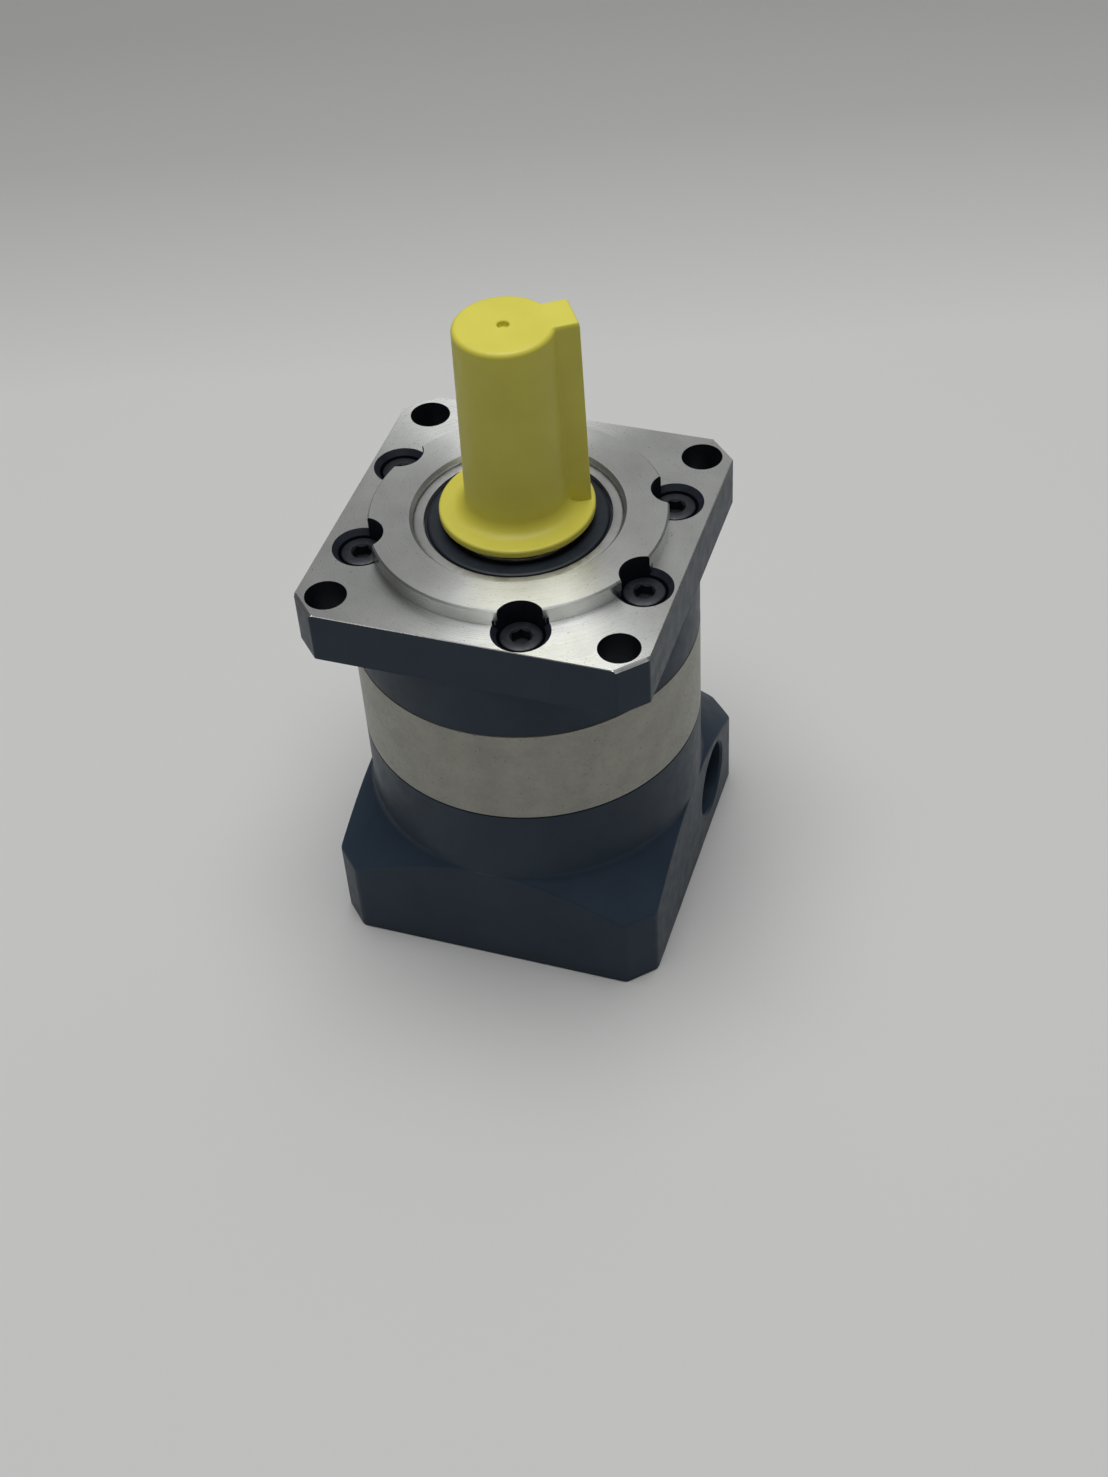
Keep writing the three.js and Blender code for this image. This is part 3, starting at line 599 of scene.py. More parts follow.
def case_angles():
    """Angles round the case, close together where a chamfered square has its corners."""
    coarse = [1.5 * i for i in range(27)]
    fine = [39.25 + 0.25 * i for i in range(10)]
    octant = coarse + fine + [42, 43.5]
    quadrant = octant + [45] + [90 - a for a in reversed(octant[1:])]
    return [math.radians(a + 90 * q) for q in range(4) for a in quadrant]


def chamfered_square_reach(angle, half, corner, inset=0.0, corner_inset=0.0, soften=0.2):
    """Distance from the axis to the outline of a chamfered square, at an angle."""
    c, s = abs(math.cos(angle)), abs(math.sin(angle))
    side = (half - inset) / max(c, s)
    slant = (2 * half - corner - corner_inset * math.sqrt(2)) / (c + s)
    blend = max(soften - abs(side - slant), 0.0)
    return min(side, slant) - blend * blend / (4 * soften)


def around(angles, profile_at, bands):
    """Rows of points from a profile that changes with the angle."""
    profiles = [profile_at(a) for a in angles]
    rows = [
        [(p[j][0] * math.cos(a), p[j][0] * math.sin(a), p[j][1]) for a, p in zip(angles, profiles)]
        for j in range(len(profiles[0]))
    ]
    return rows, bands


def front_housing_profile(angle):
    edge, corner_edge, mouth = 0.12, 0.5, 0.5
    neck = CASE_R - 0.02
    reach = chamfered_square_reach(angle, CASE_R, FLANGE_CORNER)
    inner = chamfered_square_reach(angle, CASE_R, FLANGE_CORNER, edge, corner_edge)
    on_corner = (reach - inner) > (edge + corner_edge) / 2 + 0.05
    drop = corner_edge if on_corner else edge
    under = max(reach - edge, neck + 0.01)
    return [
        (SPIGOT_INNER_R, RING_TOP - SPIGOT_HEIGHT),
        (SPIGOT_R - 0.2, RING_TOP - SPIGOT_HEIGHT),
        (SPIGOT_R, RING_TOP - SPIGOT_HEIGHT + 0.2),
        (SPIGOT_R, RING_TOP),
        (neck - 0.15, RING_TOP),
        (neck, RING_TOP + 0.15),
        (neck, FLANGE_BOTTOM),
        (under, FLANGE_BOTTOM),
        (reach, FLANGE_BOTTOM + reach - under),
        (reach, FLANGE_TOP - drop),
        (inner, FLANGE_TOP),
        (PILOT_R, FLANGE_TOP),
        (PILOT_R, PILOT_TOP - 0.3),
        (PILOT_R - 0.3, PILOT_TOP),
        (BEARING_R + BEARING_FIT + mouth, PILOT_TOP),
        (BEARING_R + BEARING_FIT, PILOT_TOP - mouth),
        (BEARING_R + BEARING_FIT, BEARING_BOTTOM),
        (SHOULDER_R, BEARING_BOTTOM),
        (SHOULDER_R, SHOULDER_BOTTOM),
        (REAR_SEAT_R, SHOULDER_BOTTOM),
        (REAR_SEAT_R, HOUSING_GROOVE[1]),
        (HOUSING_GROOVE_R, HOUSING_GROOVE[1]),
        (HOUSING_GROOVE_R, HOUSING_GROOVE[0]),
        (REAR_SEAT_R, HOUSING_GROOVE[0]),
        (REAR_SEAT_R, RING_TOP),
        (SPIGOT_INNER_R, RING_TOP),
    ]


def counterbore_mouth():
    top = FLANGE_TOP
    wide = COUNTERBORE_R + COUNTERBORE_CHAMFER
    low = top - COUNTERBORE_CHAMFER
    profile = [(0, low), (COUNTERBORE_R - 0.01, low), (wide, top), (wide, top + OVER), (0, top + OVER)]
    mouth = placed(lathe("mouth", profile, 64), polar(CASE_SCREW_CIRCLE, 0))
    return carve(mouth, hole(PILOT_R, FLANGE_BOTTOM, PILOT_TOP + OVER, 192))


def front_housing():
    anodised, machined, painted_shade_slot = range(3)  # the piece's material slots
    machined_bands = range(9, 16)  # from the flange's top edge to the bearing's seat
    bands = [machined if j in machined_bands else anodised for j in range(len(front_housing_profile(0)))]
    body = skin("front_housing_body", *around(case_angles(), front_housing_profile, bands))
    bolt_holes = [
        placed(hole(FLANGE_HOLE_R, FLANGE_BOTTOM - OVER, FLANGE_TOP + OVER), Matrix.Translation((x, y, 0)))
        for x, y in BOLT_CORNERS
    ]
    below = RING_TOP - SPIGOT_HEIGHT - OVER
    stepped = [
        (0, below),
        (SCREW_CLEARANCE_R, below),
        (SCREW_CLEARANCE_R, COUNTERBORE_FLOOR),
        (COUNTERBORE_R, COUNTERBORE_FLOOR),
        (COUNTERBORE_R, PILOT_TOP + OVER),
        (0, PILOT_TOP + OVER),
    ]
    pockets = [placed(lathe("pocket", stepped, 64), polar(CASE_SCREW_CIRCLE, a)) for a in CASE_SCREW_ANGLES]
    mouth = counterbore_mouth()
    mouths = [placed(copy_of(mouth, "mouth"), polar(0, a)) for a in CASE_SCREW_ANGLES]
    bpy.data.objects.remove(mouth)
    # Holes, pockets and mouths take the bore material, whose darker colour is painted shade for the inside
    # of the holes.
    for tool in (*bolt_holes, *pockets, *mouths):
        for face in tool.data.polygons:
            face.material_index = painted_shade_slot
    for piece in (body, *bolt_holes, *pockets, *mouths):
        for material in (ANODISED, MACHINED, BORE_PAINTED_SHADE):
            piece.data.materials.append(material)
    carve(body, *bolt_holes, *pockets)
    carve(body, *mouths)
    stands_for(body, "front_housing", "anodised", ANODISED, MACHINED, BORE_PAINTED_SHADE)


def half_tooth_angle(teeth, radius, thickening):
    pitch_r = MODULE * teeth / 2
    base_r = pitch_r * math.cos(PRESSURE_ANGLE)
    flank = math.acos(base_r / radius) if radius > base_r else 0.0
    rolled = math.tan(flank) - flank
    at_pitch = math.tan(PRESSURE_ANGLE) - PRESSURE_ANGLE
    return math.pi / (2 * teeth) + thickening / (2 * pitch_r) + at_pitch - rolled


def gear_outline(teeth, tip_r, root_r, thickening, steps=7):
    points = []
    for tooth in range(teeth):
        centre = 2 * math.pi * tooth / teeth
        flank = []
        for i in range(steps + 1):
            radius = root_r + (tip_r - root_r) * i / steps
            flank.append((radius, half_tooth_angle(teeth, radius, thickening)))
        points += [(r, centre - half) for r, half in flank]
        points += [(r, centre + half) for r, half in reversed(flank)]
    return [(r * math.cos(a), r * math.sin(a)) for r, a in points]


def external_gear(name, teeth, z0, z1):
    pitch_r = MODULE * teeth / 2
    return prism(name, gear_outline(teeth, pitch_r + MODULE, pitch_r - 1.25 * MODULE, -BACKLASH), z0, z1)


def ring_gear():
    edge = 0.25
    recess_r, recess = SPIGOT_R + 0.1, SPIGOT_HEIGHT + 0.2
    blank_r = 18.0
    body = lathe(
        "ring_gear_body",
        [
            (recess_r, REAR_TOP),
            (CASE_R - edge, REAR_TOP),
            (CASE_R, REAR_TOP + edge),
            (CASE_R, RING_TOP - edge),
            (CASE_R - edge, RING_TOP),
            (recess_r, RING_TOP),
            (recess_r, RING_TOP - recess),
            (blank_r, RING_TOP - recess),
            (blank_r, REAR_TOP + recess),
            (recess_r, REAR_TOP + recess),
        ],
        240,
    )
    pitch_r = MODULE * RING_TEETH / 2
    space = gear_outline(RING_TEETH, pitch_r + 1.25 * MODULE, pitch_r - MODULE, BACKLASH)
    holes = [
        placed(hole(SCREW_CLEARANCE_R, REAR_TOP - OVER, RING_TOP + OVER, 32), polar(CASE_SCREW_CIRCLE, a))
        for a in CASE_SCREW_ANGLES
    ]
    carve(body, prism("space", space, REAR_TOP, RING_TOP), *holes)
    stands_for(body, "ring_gear", "ring_steel", RING_STEEL)


def rear_housing_profile(angle):
    edge = 0.3
    side_round, neck_fillet = 0.8, 2.2
    reach = chamfered_square_reach(angle, BASE_HALF, BASE_CORNER, soften=0.6)
    shoulder = (reach, min(CONE_START - CONE_SLOPE * (reach - CASE_R), CONE_START - 0.2))
    neck_foot = (CASE_R, CONE_START)
    outside = corner_arc((reach, edge), shoulder, neck_foot, side_round, 5)
    outside += corner_arc(shoulder, neck_foot, (CASE_R, REAR_TOP), neck_fillet, 7)
    return [
        (PILOT_R, edge),
        (PILOT_R + edge, 0),
        (reach - edge, 0),
        (reach, edge),
        *outside,
        (CASE_R, REAR_TOP - 0.15),
        (CASE_R - 0.15, REAR_TOP),
        (SPIGOT_R, REAR_TOP),
        (SPIGOT_R, REAR_TOP + SPIGOT_HEIGHT - 0.2),
        (SPIGOT_R - 0.2, REAR_TOP + SPIGOT_HEIGHT),
        (SPIGOT_INNER_R, REAR_TOP + SPIGOT_HEIGHT),
        (SPIGOT_INNER_R, REAR_TOP),
        (INPUT_SEAT_R, REAR_TOP),
        (INPUT_SEAT_R, INPUT_GROOVE[1]),
        (INPUT_GROOVE_R, INPUT_GROOVE[1]),
        (INPUT_GROOVE_R, INPUT_GROOVE[0]),
        (INPUT_SEAT_R, INPUT_GROOVE[0]),
        (INPUT_SEAT_R, INPUT_SEAT_BOTTOM),
        (SEAL_SEAT_R, INPUT_SEAT_BOTTOM),
        (SEAL_SEAT_R, SEAL_SEAT_BOTTOM),
        (WEB_BORE_R, SEAL_SEAT_BOTTOM),
        (WEB_BORE_R, CAVITY_TOP),
        (CAVITY_R, CAVITY_TOP),
        (CAVITY_R, PILOT_RECESS + edge),
        (CAVITY_R + edge, PILOT_RECESS),
        (PILOT_R, PILOT_RECESS),
    ]


def rear_housing():
    body = skin("rear_housing_body", *around(case_angles(), rear_housing_profile, None))
    rim = 0.45
    access_profile = [
        (0, ACCESS_INNER),
        (ACCESS_R, ACCESS_INNER),
        (ACCESS_R, BASE_HALF - rim),
        (ACCESS_R + rim + OVER, BASE_HALF + OVER),
        (0, BASE_HALF + OVER),
    ]
    access = placed(lathe("access", access_profile, 96), CLAMP_LINE)
    lead, drill_point = 0.3, 1.2
    motor_profile = [
        (0, -OVER),
        (MOTOR_HOLE_R + lead + OVER, -OVER),
        (MOTOR_HOLE_R, lead),
        (MOTOR_HOLE_R, MOTOR_HOLE_DEPTH),
        (0, MOTOR_HOLE_DEPTH + drill_point),
    ]
    motor_holes = [
        placed(lathe("motor_hole", motor_profile, 48), Matrix.Translation((x, y, 0)))
        for x, y in BOLT_CORNERS
    ]
    tapped = [
        placed(hole(TAPPED_R, SCREW_TIP - 1, REAR_TOP + OVER, 32), polar(CASE_SCREW_CIRCLE, a))
        for a in CASE_SCREW_ANGLES
    ]
    carve(body, access, *motor_holes, *tapped)
    stands_for(body, "rear_housing", "anodised", ANODISED)


def access_plug():
    face, back, r = PLUG_FACE, PLUG_BACK, ACCESS_R - 0.1
    dimple_r, dimple_floor, chamfer = 3.0, face - 1.5, 0.4
    profile = eased(
        [
            (0, back),
            (r - chamfer, back),
            (r, back + chamfer),
            (r, face, 0.35),
            (dimple_r, face, 0.2),
            (dimple_r - 0.2, dimple_floor, 0.3),
            (0, dimple_floor),
        ]
    )
    body = placed(lathe("access_plug_body", profile, 96), CLAMP_LINE)
    stands_for(body, "access_plug", "black_plastic", BLACK_PLASTIC)


# ---------- screws ----------


def knurled_screw(name, head_r, head_height, r, tip, across_flats):
    """A socket head screw along Z with the underside of its head at 0."""
    knurls, sides = 36, 216
    top, rim, dip = head_height, 0.35, 0.07

    def row(radius, z, cut=0.0):
        points = []
        for a in ring_angles(sides):
            r_here = radius - cut * (0.5 - 0.5 * math.cos(knurls * a))
            points.append((r_here * math.cos(a), r_here * math.sin(a), z))
        return points

    rows = [
        row(0, tip),
        row(r - 0.4, tip),
        row(r, tip + 0.4),
        row(r, 0),
        row(head_r - 0.15, 0),
        row(head_r, 0.15),
        row(head_r, 0.3),
        row(head_r, 0.45, dip),
        row(head_r, top - rim - 0.15, dip),
        row(head_r, top - rim),
        row(head_r - 0.12, top - 0.12),
        row(head_r - rim, top),
        row(0, top),
    ]
    body = skin(name, rows)
    hex_r = across_flats / math.sqrt(3)
    hexagon = [(hex_r * math.cos(a), hex_r * math.sin(a)) for a in ring_angles(6)]
    socket_depth = 2.0
    carve(body, prism("hex", hexagon, top - socket_depth, top + OVER))
    lead = hex_r + 0.12
    carve(body, lathe("lead", [(0, top - lead), (lead + OVER, top + OVER), (0, top + OVER)], 96))
    return body


def case_screws():
    length = COUNTERBORE_FLOOR - SCREW_TIP
    screw = knurled_screw("case_screw", head_r=3.5, head_height=4.0, r=2.0, tip=-length, across_flats=3.0)
    seat = Matrix.Translation((0, 0, COUNTERBORE_FLOOR))
    for i, angle in enumerate(CASE_SCREW_ANGLES):
        copy = copy_of(screw, f"case_screw_body_{i + 1}")
        tightened = polar(0, 23 * i)  # each one stopped at its own angle
        placed(copy, polar(CASE_SCREW_CIRCLE, angle) @ seat @ tightened)
        stands_for(copy, f"case_screw_{i + 1}", "black_screw", BLACK_OXIDE)
    bpy.data.objects.remove(screw)


# ---------- front bearing ----------


def groove(centre, side, steps=10):
    """The section of a ball groove, from its lower edge to its upper edge; side 1 is the outer ring's."""
    edge = math.acos(0.7 * BALL_R / BALL_GROOVE_R)
    angles = [edge * (2 * i / steps - 1) for i in range(steps + 1)]
    return [
        (BALL_CIRCLE_R + side * BALL_GROOVE_R * math.cos(a), centre + BALL_GROOVE_R * math.sin(a))
        for a in angles
    ]


def front_bearing():
    centre, shoulder = (BEARING_TOP + BEARING_BOTTOM) / 2, 1.67
    outer_shoulder, inner_shoulder = BALL_CIRCLE_R + shoulder, BALL_CIRCLE_R - shoulder
    outer = eased(
        [
            (SEAL_RECESS_R, BEARING_BOTTOM),
            (BEARING_R, BEARING_BOTTOM, 0.4),
            (BEARING_R, BEARING_TOP, 0.4),
            (SEAL_RECESS_R, BEARING_TOP, 0.08),
            (SEAL_RECESS_R, BEARING_TOP - SEAL_RECESS),
            (outer_shoulder, BEARING_TOP - SEAL_RECESS),
            *reversed(groove(centre, 1)),
            (outer_shoulder, BEARING_BOTTOM + SEAL_RECESS),
            (SEAL_RECESS_R, BEARING_BOTTOM + SEAL_RECESS),
        ]
    )
    ring = lathe("front_bearing_outer_ring_body", outer, 240)
    stands_for(ring, "front_bearing_outer_ring", "bearing_steel", BEARING_STEEL)
    inner = eased(
        [
            (JOURNAL_R + BEARING_FIT, BEARING_BOTTOM, 0.3),
            (inner_shoulder, BEARING_BOTTOM, 0.1),
            *groove(centre, -1),
            (inner_shoulder, BEARING_TOP, 0.1),
            (JOURNAL_R + BEARING_FIT, BEARING_TOP, 0.3),
        ]
    )
    ring = lathe("front_bearing_inner_ring_body", inner, 192)
    stands_for(ring, "front_bearing_inner_ring", "bearing_steel", BEARING_STEEL)
    top = BEARING_TOP - 0.12
    seal = eased(
        [
            (inner_shoulder + 0.15, top - 1.0, 0.1),
            (SEAL_RECESS_R - 0.1, top - 1.0, 0.1),
            (SEAL_RECESS_R - 0.1, top - 0.75, 0.1),
            (15.2, top - 0.7, 0.1),
            (15.05, top - 0.15, 0.2),
            (14.7, top, 0.3),
            (12.4, top - 0.05, 0.2),
            (12.1, top - 0.35, 0.2),
            (11.7, top - 0.35, 0.1),
            (inner_shoulder + 0.15, top - 0.15, 0.1),
        ]
    )
    ring = lathe("front_bearing_seal_body", seal, 240)
    stands_for(ring, "front_bearing_seal", "rubber", RUBBER)


# ---------- shaft cap ----------


def cap_gap(x, y, tube_r, reach, half_width):
    """Signed distance to the cap's section: a round tube with a square bulge joined on. The bulge's
    square starts 2 mm behind the axis, inside the tube, and ends at reach."""
    ring = math.hypot(x, y) - tube_r
    middle, half = (reach - 2) / 2, (reach + 2) / 2
    dx, dy = abs(x - middle) - half + BULGE_ROUND, abs(y) - half_width + BULGE_ROUND
    square = math.hypot(max(dx, 0), max(dy, 0)) + min(max(dx, dy), 0) - BULGE_ROUND
    blend = max(CAP_BLEND - abs(ring - square), 0.0)
    return min(ring, square) - blend * blend / (4 * CAP_BLEND)


def cap_outline(tube_r, reach, half_width):
    """Distance from the axis to the section's outline, for each angle, found by halving."""
    reaches = []
    for a in ring_angles(CAP_SIDES):
        low, high = 1.0, 16.0
        for _ in range(26):
            mid = (low + high) / 2
            inside = cap_gap(mid * math.cos(a), mid * math.sin(a), tube_r, reach, half_width) < 0
            low, high = (mid, high) if inside else (low, mid)
        reaches.append(low)
    return reaches


def shaft_cap():
    head_round, bulge_top_round, foot_fillet, rim_round = 0.9, 0.35, 2.3, 0.45
    span = CAP_TOP - CAP_FLANGE_TOP
    rim_r = CAP_FLANGE_R - rim_round
    rows = []

    def add(reaches, z):
        rows.append([(r * math.cos(a), r * math.sin(a), z) for r, a in zip(reaches, ring_angles(CAP_SIDES))])

    def ring(r, z):
        add([r] * CAP_SIDES, z)

    def outside(z, tube_grows=0.0, bulge_grows=0.0):
        t = (z - CAP_FLANGE_TOP) / span
        tube_r = CAP_FOOT_R + (CAP_HEAD_R - CAP_FOOT_R) * t + tube_grows
        reach = BULGE_FOOT + (BULGE_HEAD - BULGE_FOOT) * t + bulge_grows
        return cap_outline(tube_r, reach, BULGE_HALF_WIDTH + bulge_grows)

    def inside(z):
        t = (z - CAP_FLANGE_TOP) / span
        return cap_outline(SHAFT_R + 0.25 - 0.1 * t, BULGE_FOOT - 1.1 - 0.5 * t, KEY_WIDTH / 2 + 0.3)

    chamfer = 0.25
    ring(CAP_FLANGE_R - chamfer, CAP_BOTTOM)
    ring(CAP_FLANGE_R, CAP_BOTTOM + chamfer)
    for i in range(7):
        a = math.radians(15 * i)
        ring(rim_r + rim_round * math.cos(a), CAP_FLANGE_TOP - rim_round * (1 - math.sin(a)))
    for i in range(10):
        a = math.radians(10 * i)
        z = CAP_FLANGE_TOP + foot_fillet * (1 - math.cos(a))
        add(outside(z, foot_fillet * (1 - math.sin(a))), z)
    for i in range(1, 8):
        z = CAP_FLANGE_TOP + foot_fillet + (span - foot_fillet - head_round) * i / 7
        add(outside(z), z)
    for i in range(1, 10):
        a = math.radians(10 * i)
        z = CAP_TOP - head_round * (1 - math.sin(a))
        add(outside(CAP_TOP, -head_round * (1 - math.cos(a)), -bulge_top_round * (1 - math.cos(a))), z)
    top = outside(CAP_TOP, -head_round, -bulge_top_round)
    lip, dimple_floor = 0.15, CAP_TOP - CAP_DIMPLE_DEPTH
    mouth = CAP_DIMPLE_R + lip
    for t in (0.3, 0.65):
        add([r + (mouth - r) * t for r in top], CAP_TOP)
    ring(mouth, CAP_TOP)
    ring(CAP_DIMPLE_R, CAP_TOP - lip)
    ring(CAP_DIMPLE_R - 0.05, dimple_floor + 0.1)
    ring(CAP_DIMPLE_R - 0.15, dimple_floor)
    ring(0, dimple_floor)
    roof = CAP_TOP - CAP_ROOF
    ring(0, roof)
    for t in (1.0, 0.75, 0.5, 0.25, 0.0):
        z = CAP_BOTTOM + (roof - CAP_BOTTOM) * t
        add(inside(z), z)
    body = placed(skin("shaft_cap_body", rows), KEY_TURN)
    stands_for(body, "shaft_cap", "yellow_plastic", YELLOW)


# ---------- output shaft ----------


def stadium(width, bottom, top, inset=0.0, steps=12):
    """A slot's outline: two half circles joined by straight sides."""
    r = width / 2 - inset
    low, high = bottom + width / 2, top - width / 2
    angles = [math.pi * i / steps for i in range(steps + 1)]
    upper = [(r * math.cos(a), high + r * math.sin(a)) for a in angles]
    lower = [(-x, low + high - y) for x, y in upper]
    return upper + lower


def facing_key(name, levels):
    """A piece raised along the key's direction: levels of (outline in width and height, radius)."""
    rows = [[(r, x, z) for x, z in outline] for outline, r in levels]
    return placed(skin(name, rows, closed=False), KEY_TURN)


def output_shaft():
    cheek_bottom, cheek_top, carrier_r = 52.1, 56.4, 20.3
    collar_r, collar_top = 10.2, 60.8
    groove_r, groove_top = 8.1, 68.95
    journal_end = 79.25
    pin_hole_r = 2.56
    thread = []
    depth, pitch, core = 12.0, 0.8, 2.1
    z = SHAFT_END - depth
    while z < SHAFT_END - 1.2:
        thread += [(core, z), (core + 0.3, z + pitch / 2)]
        z += pitch
    profile = eased(
        [
            (0, cheek_bottom),
            (carrier_r, cheek_bottom, 0.3),
            (carrier_r, cheek_top, 0.3),
            (collar_r, cheek_top),
            (collar_r, collar_top, 0.2),
            (JOURNAL_R, collar_top),
            (JOURNAL_R, SHOULDER_BOTTOM),
            (groove_r, SHOULDER_BOTTOM),
            (groove_r, groove_top),
            (JOURNAL_R, groove_top),
            (JOURNAL_R, journal_end, 0.3),
            (SHAFT_R, journal_end),
            (SHAFT_R, SHAFT_END - 0.8, 0.1),
            (SHAFT_R - 0.8, SHAFT_END, 0.1),
            (core + 0.9, SHAFT_END, 0.05),
            (core + 0.3, SHAFT_END - 0.6),
            *reversed(thread),
            (0, SHAFT_END - depth - 0.9),
        ]
    )
    body = lathe("output_shaft_body", profile, 160)
    keyway = stadium(KEY_WIDTH, KEY_END - KEY_LENGTH, KEY_END)
    seat = facing_key("seat", [(keyway, KEY_FLOOR_R), (keyway, SHAFT_R + OVER)])
    pins = [
        placed(hole(pin_hole_r, cheek_bottom - OVER, cheek_top + OVER, 48), polar(PLANET_CIRCLE, a))
        for a in PLANET_ANGLES
    ]
    carve(body, seat, *pins)
    stands_for(body, "output_shaft", "turned_steel", TURNED_STEEL)


def shaft_key():
    low, high, top = KEY_END - KEY_LENGTH, KEY_END, KEY_TOP_R
    levels = [
        (stadium(KEY_WIDTH, low, high, 0.3), KEY_FLOOR_R + 0.05),
        (stadium(KEY_WIDTH, low, high, 0.05), KEY_FLOOR_R + 0.3),
        (stadium(KEY_WIDTH, low, high, 0.05), top - 0.25),
        (stadium(KEY_WIDTH, low, high, 0.3), top),
    ]
    stands_for(facing_key("shaft_key_body", levels), "shaft_key", "turned_steel", TURNED_STEEL)


# ---------- planets ----------


def planet_gears():
    bottom, top = 41.0, 51.5
    for i, angle in enumerate(PLANET_ANGLES):
        gear = external_gear(f"planet_gear_body_{i + 1}", PLANET_TEETH, bottom, top)
        carve(gear, hole(PLANET_BORE_R, bottom - OVER, top + OVER))
        placed(gear, polar(PLANET_CIRCLE, angle))
        stands_for(gear, f"planet_gear_{i + 1}", "gear_steel", GEAR_STEEL)


# ---------- input side ----------


def box(name, x0, x1, y0, y1, z0, z1):
    return prism(name, [(x0, y0), (x1, y0), (x1, y1), (x0, y1)], z0, z1)


def input_hub():
    seat_r, flange_r, neck_r = 10, 12, 4.1
    seat_top, flange_top, neck_top = 34.05, 36, 40.8
    bore_top, bore_cone = 31, 0.6
    sun_bottom, sun_top = 40.7, 51.7
    profile = eased(
        [
            (HUB_BORE_R, HUB_BOTTOM, 0.3),
            (HUB_CLAMP_R, HUB_BOTTOM, 0.4),
            (HUB_CLAMP_R, INPUT_SEAT_BOTTOM),
            (seat_r, INPUT_SEAT_BOTTOM, 0.2),
            (seat_r, seat_top),
            (flange_r, seat_top, 0.2),
            (flange_r, flange_top, 0.3),
            (neck_r, flange_top, 0.6),
            (neck_r, neck_top),
            (0, neck_top),
            (0, bore_top + bore_cone),
            (HUB_BORE_R, bore_top),
        ]
    )
    body = lathe("input_hub_body", profile, 128)
    sun = external_gear("sun", SUN_TEETH, sun_bottom, sun_top)
    placed(sun, Matrix.Rotation(math.radians(PLANET_ANGLES[0] + 180 / SUN_TEETH), 4, "Z"))
    carve(body, sun, how="UNION")
    reach, slot = HUB_CLAMP_R + OVER, 0.6
    carve(body, box("slot", -slot, slot, -reach, reach, HUB_BOTTOM - OVER, HUB_SLOT_TOP))
    carve(body, box("slot", -reach, reach, -slot, slot, HUB_BOTTOM - OVER, HUB_SLOT_TOP))
    stands_for(body, "input_hub", "gear_steel", GEAR_STEEL)


def clamp_collar():
    z0, z1 = CLAMP_SCREW_Z - COLLAR_HALF_HEIGHT, CLAMP_SCREW_Z + COLLAR_HALF_HEIGHT
    inner, split = HUB_CLAMP_R + 0.1, 0.8
    head_pocket_r, screw_hole_r, screw_hole_end = 4.1, 2.65, -10
    profile = eased([(inner, z0, 0.3), (COLLAR_R, z0, 0.4), (COLLAR_R, z1, 0.4), (inner, z1, 0.3)])
    body = lathe("clamp_collar_body", profile, 160)
    carve(body, box("split", -split, split, HUB_CLAMP_R - OVER, COLLAR_R + OVER, z0 - OVER, z1 + OVER))
    carve(body, placed(hole(head_pocket_r, CLAMP_HEAD_SEAT, COLLAR_R, 48), CLAMP_LINE))
    carve(body, placed(hole(screw_hole_r, screw_hole_end, CLAMP_HEAD_SEAT + OVER, 48), CLAMP_LINE))
    stands_for(body, "clamp_collar", "turned_steel", TURNED_STEEL)


def clamp_screw():
    screw = knurled_screw(
        "clamp_screw_body", head_r=3.9, head_height=5.0, r=2.5, tip=-12.55, across_flats=4.0
    )
    placed(screw, CLAMP_LINE @ Matrix.Translation((0, 0, CLAMP_HEAD_SEAT + 0.05)))
    stands_for(screw, "clamp_screw", "black_screw", BLACK_OXIDE)


def input_seal():
    """A lip seal: an outer wall and a lip, joined along the bottom."""
    lip, outer, wall = HUB_CLAMP_R + 0.2, SEAL_SEAT_R - 0.1, 1.0
    bottom, top, web_top = 22.2, 26.7, 23.6
    profile = eased(
        [
            (lip, bottom, 0.2),
            (outer, bottom, 0.3),
            (outer, top, 0.3),
            (outer - wall, top, 0.2),
            (outer - wall, web_top, 0.4),
            (lip + 1.4, web_top, 0.4),
            (lip + wall, top - 1.1, 0.2),
            (lip, top - 1.3, 0.1),
        ]
    )
    stands_for(lathe("input_seal_body", profile, 128), "input_seal", "rubber", RUBBER)


# ---------- frame nodes that stay ----------


def dress_frame():
    """A procedural finish on every CAD node, from its slot in the record."""
    for entry in frame["record"]["subparts"]:
        piece = frame["nodes"][entry["node"]]
        piece.data.materials.clear()
        piece.data.materials.append(SLOT_MATERIALS[entry["material_slot"]])


# ---------- studio ----------


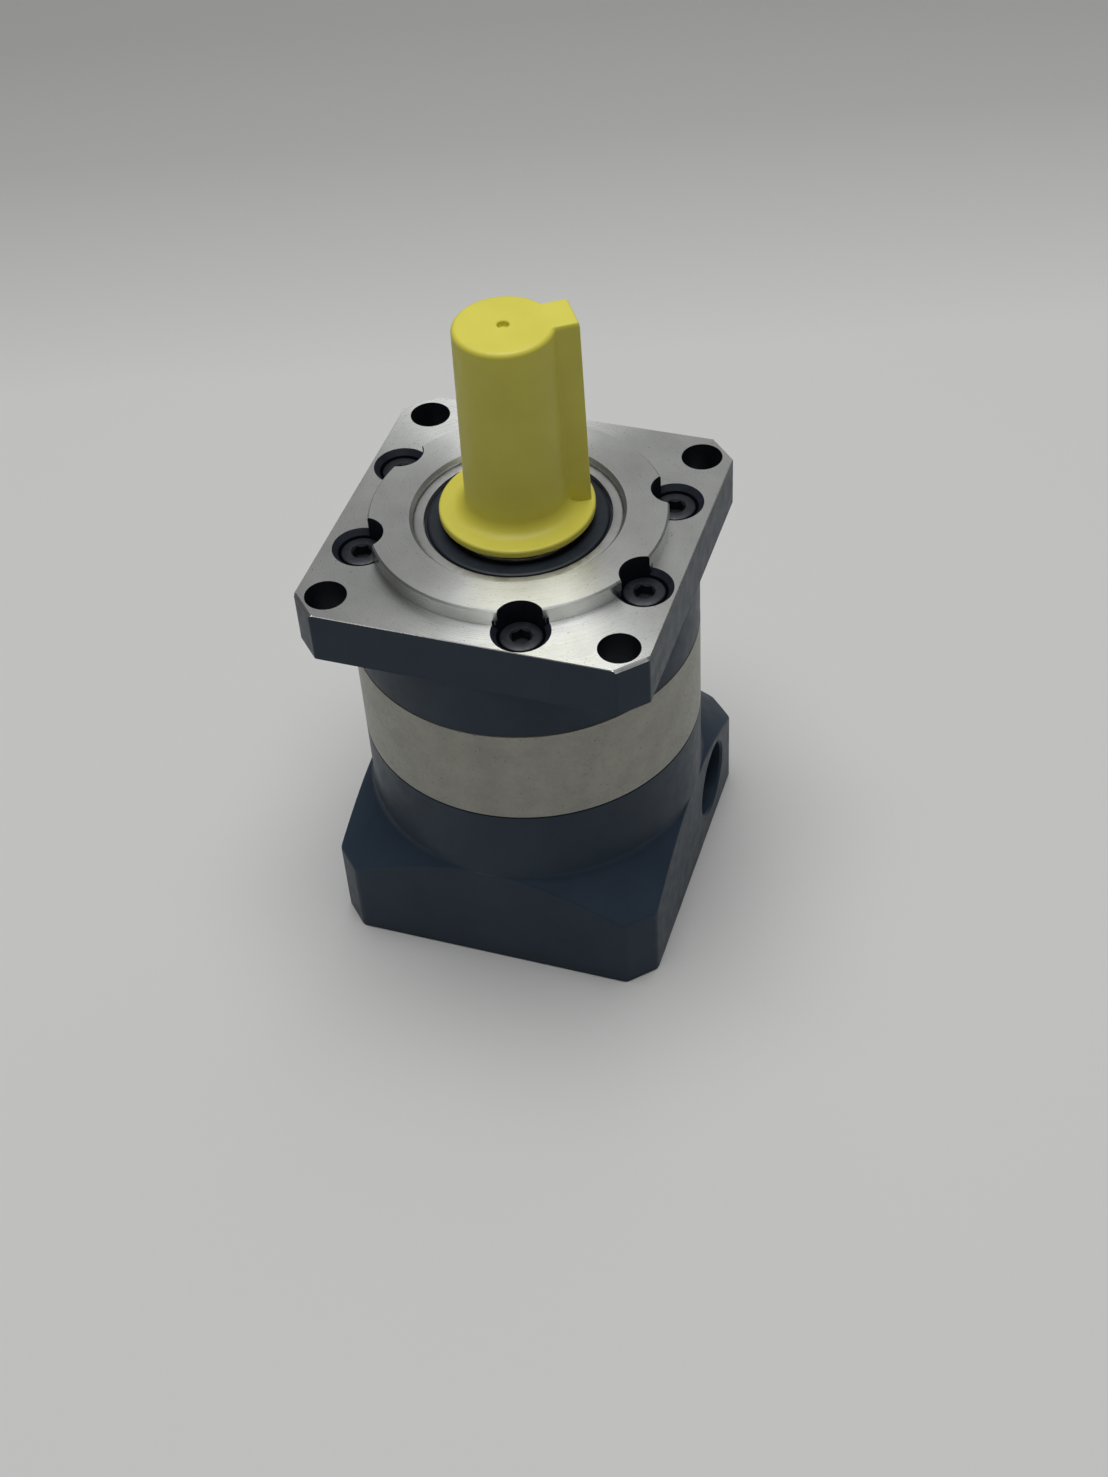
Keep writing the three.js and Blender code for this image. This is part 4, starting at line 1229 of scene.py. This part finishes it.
def floor():
    half, thickness = 4000, 20
    corners = ((-half, -half), (half, -half), (half, half), (-half, half))
    rows = [[(x, y, z) for x, y in corners] for z in (-thickness, 0)]
    slab = skin("studio_floor", rows, closed=False)
    slab.data.materials.append(floor_paint_with_painted_shade())


def area_light(name, place, target, width, height, watts):
    data = bpy.data.lights.new(name, "AREA")
    data.shape = "RECTANGLE"
    data.size, data.size_y = width, height
    data.energy = watts
    lamp = bpy.data.objects.new(name, data)
    bpy.context.collection.objects.link(lamp)
    lamp.location = place
    lamp.rotation_euler = (Vector(target) - Vector(place)).to_track_quat("-Z", "Y").to_euler()


def studio():
    floor()
    area_light("overhead", (-0.03, 0.03, 1.20), (0, 0, 0.05), 0.85, 0.85, 12.2)
    area_light("back_wall", (0.0, 1.6, 1.6), (0, 0, 0.08), 2.4, 1.6, 4.2)
    world = bpy.data.worlds.new("studio_world")
    world.use_nodes = True
    background = world.node_tree.nodes["Background"]
    background.inputs["Color"].default_value = (0.93, 0.96, 1.0, 1)
    background.inputs["Strength"].default_value = 0.06
    bpy.context.scene.world = world
    bpy.context.scene.view_settings.view_transform = "Standard"


def camera():
    """A camera at the viewing angle of a product shot, from the front right and above."""
    azimuth, elevation, roll = math.radians(20.73), math.radians(45.20), math.radians(-4.14)
    level = math.cos(elevation)
    back = Vector((math.sin(azimuth) * level, -math.cos(azimuth) * level, math.sin(elevation)))
    right = (-back).cross(Vector((0, 0, 1))).normalized()
    up = right.cross(-back)
    x = math.cos(roll) * right + math.sin(roll) * up
    y = -math.sin(roll) * right + math.cos(roll) * up
    data = bpy.data.cameras.new("camera")
    data.sensor_width = 36
    data.lens = 53.40
    data.clip_start = 0.01
    data.clip_end = 50
    view = bpy.data.objects.new("camera", data)
    bpy.context.collection.objects.link(view)
    place = Matrix((x, y, back)).transposed().to_4x4()
    place.translation = (0.10282, -0.26255, 0.31002)
    view.matrix_world = place
    bpy.context.scene.camera = view


dress_frame()
front_housing()
ring_gear()
rear_housing()
access_plug()
case_screws()
front_bearing()
shaft_cap()
output_shaft()
shaft_key()
planet_gears()
input_hub()
clamp_collar()
clamp_screw()
input_seal()
studio()
camera()

bpy.context.view_layer.update()
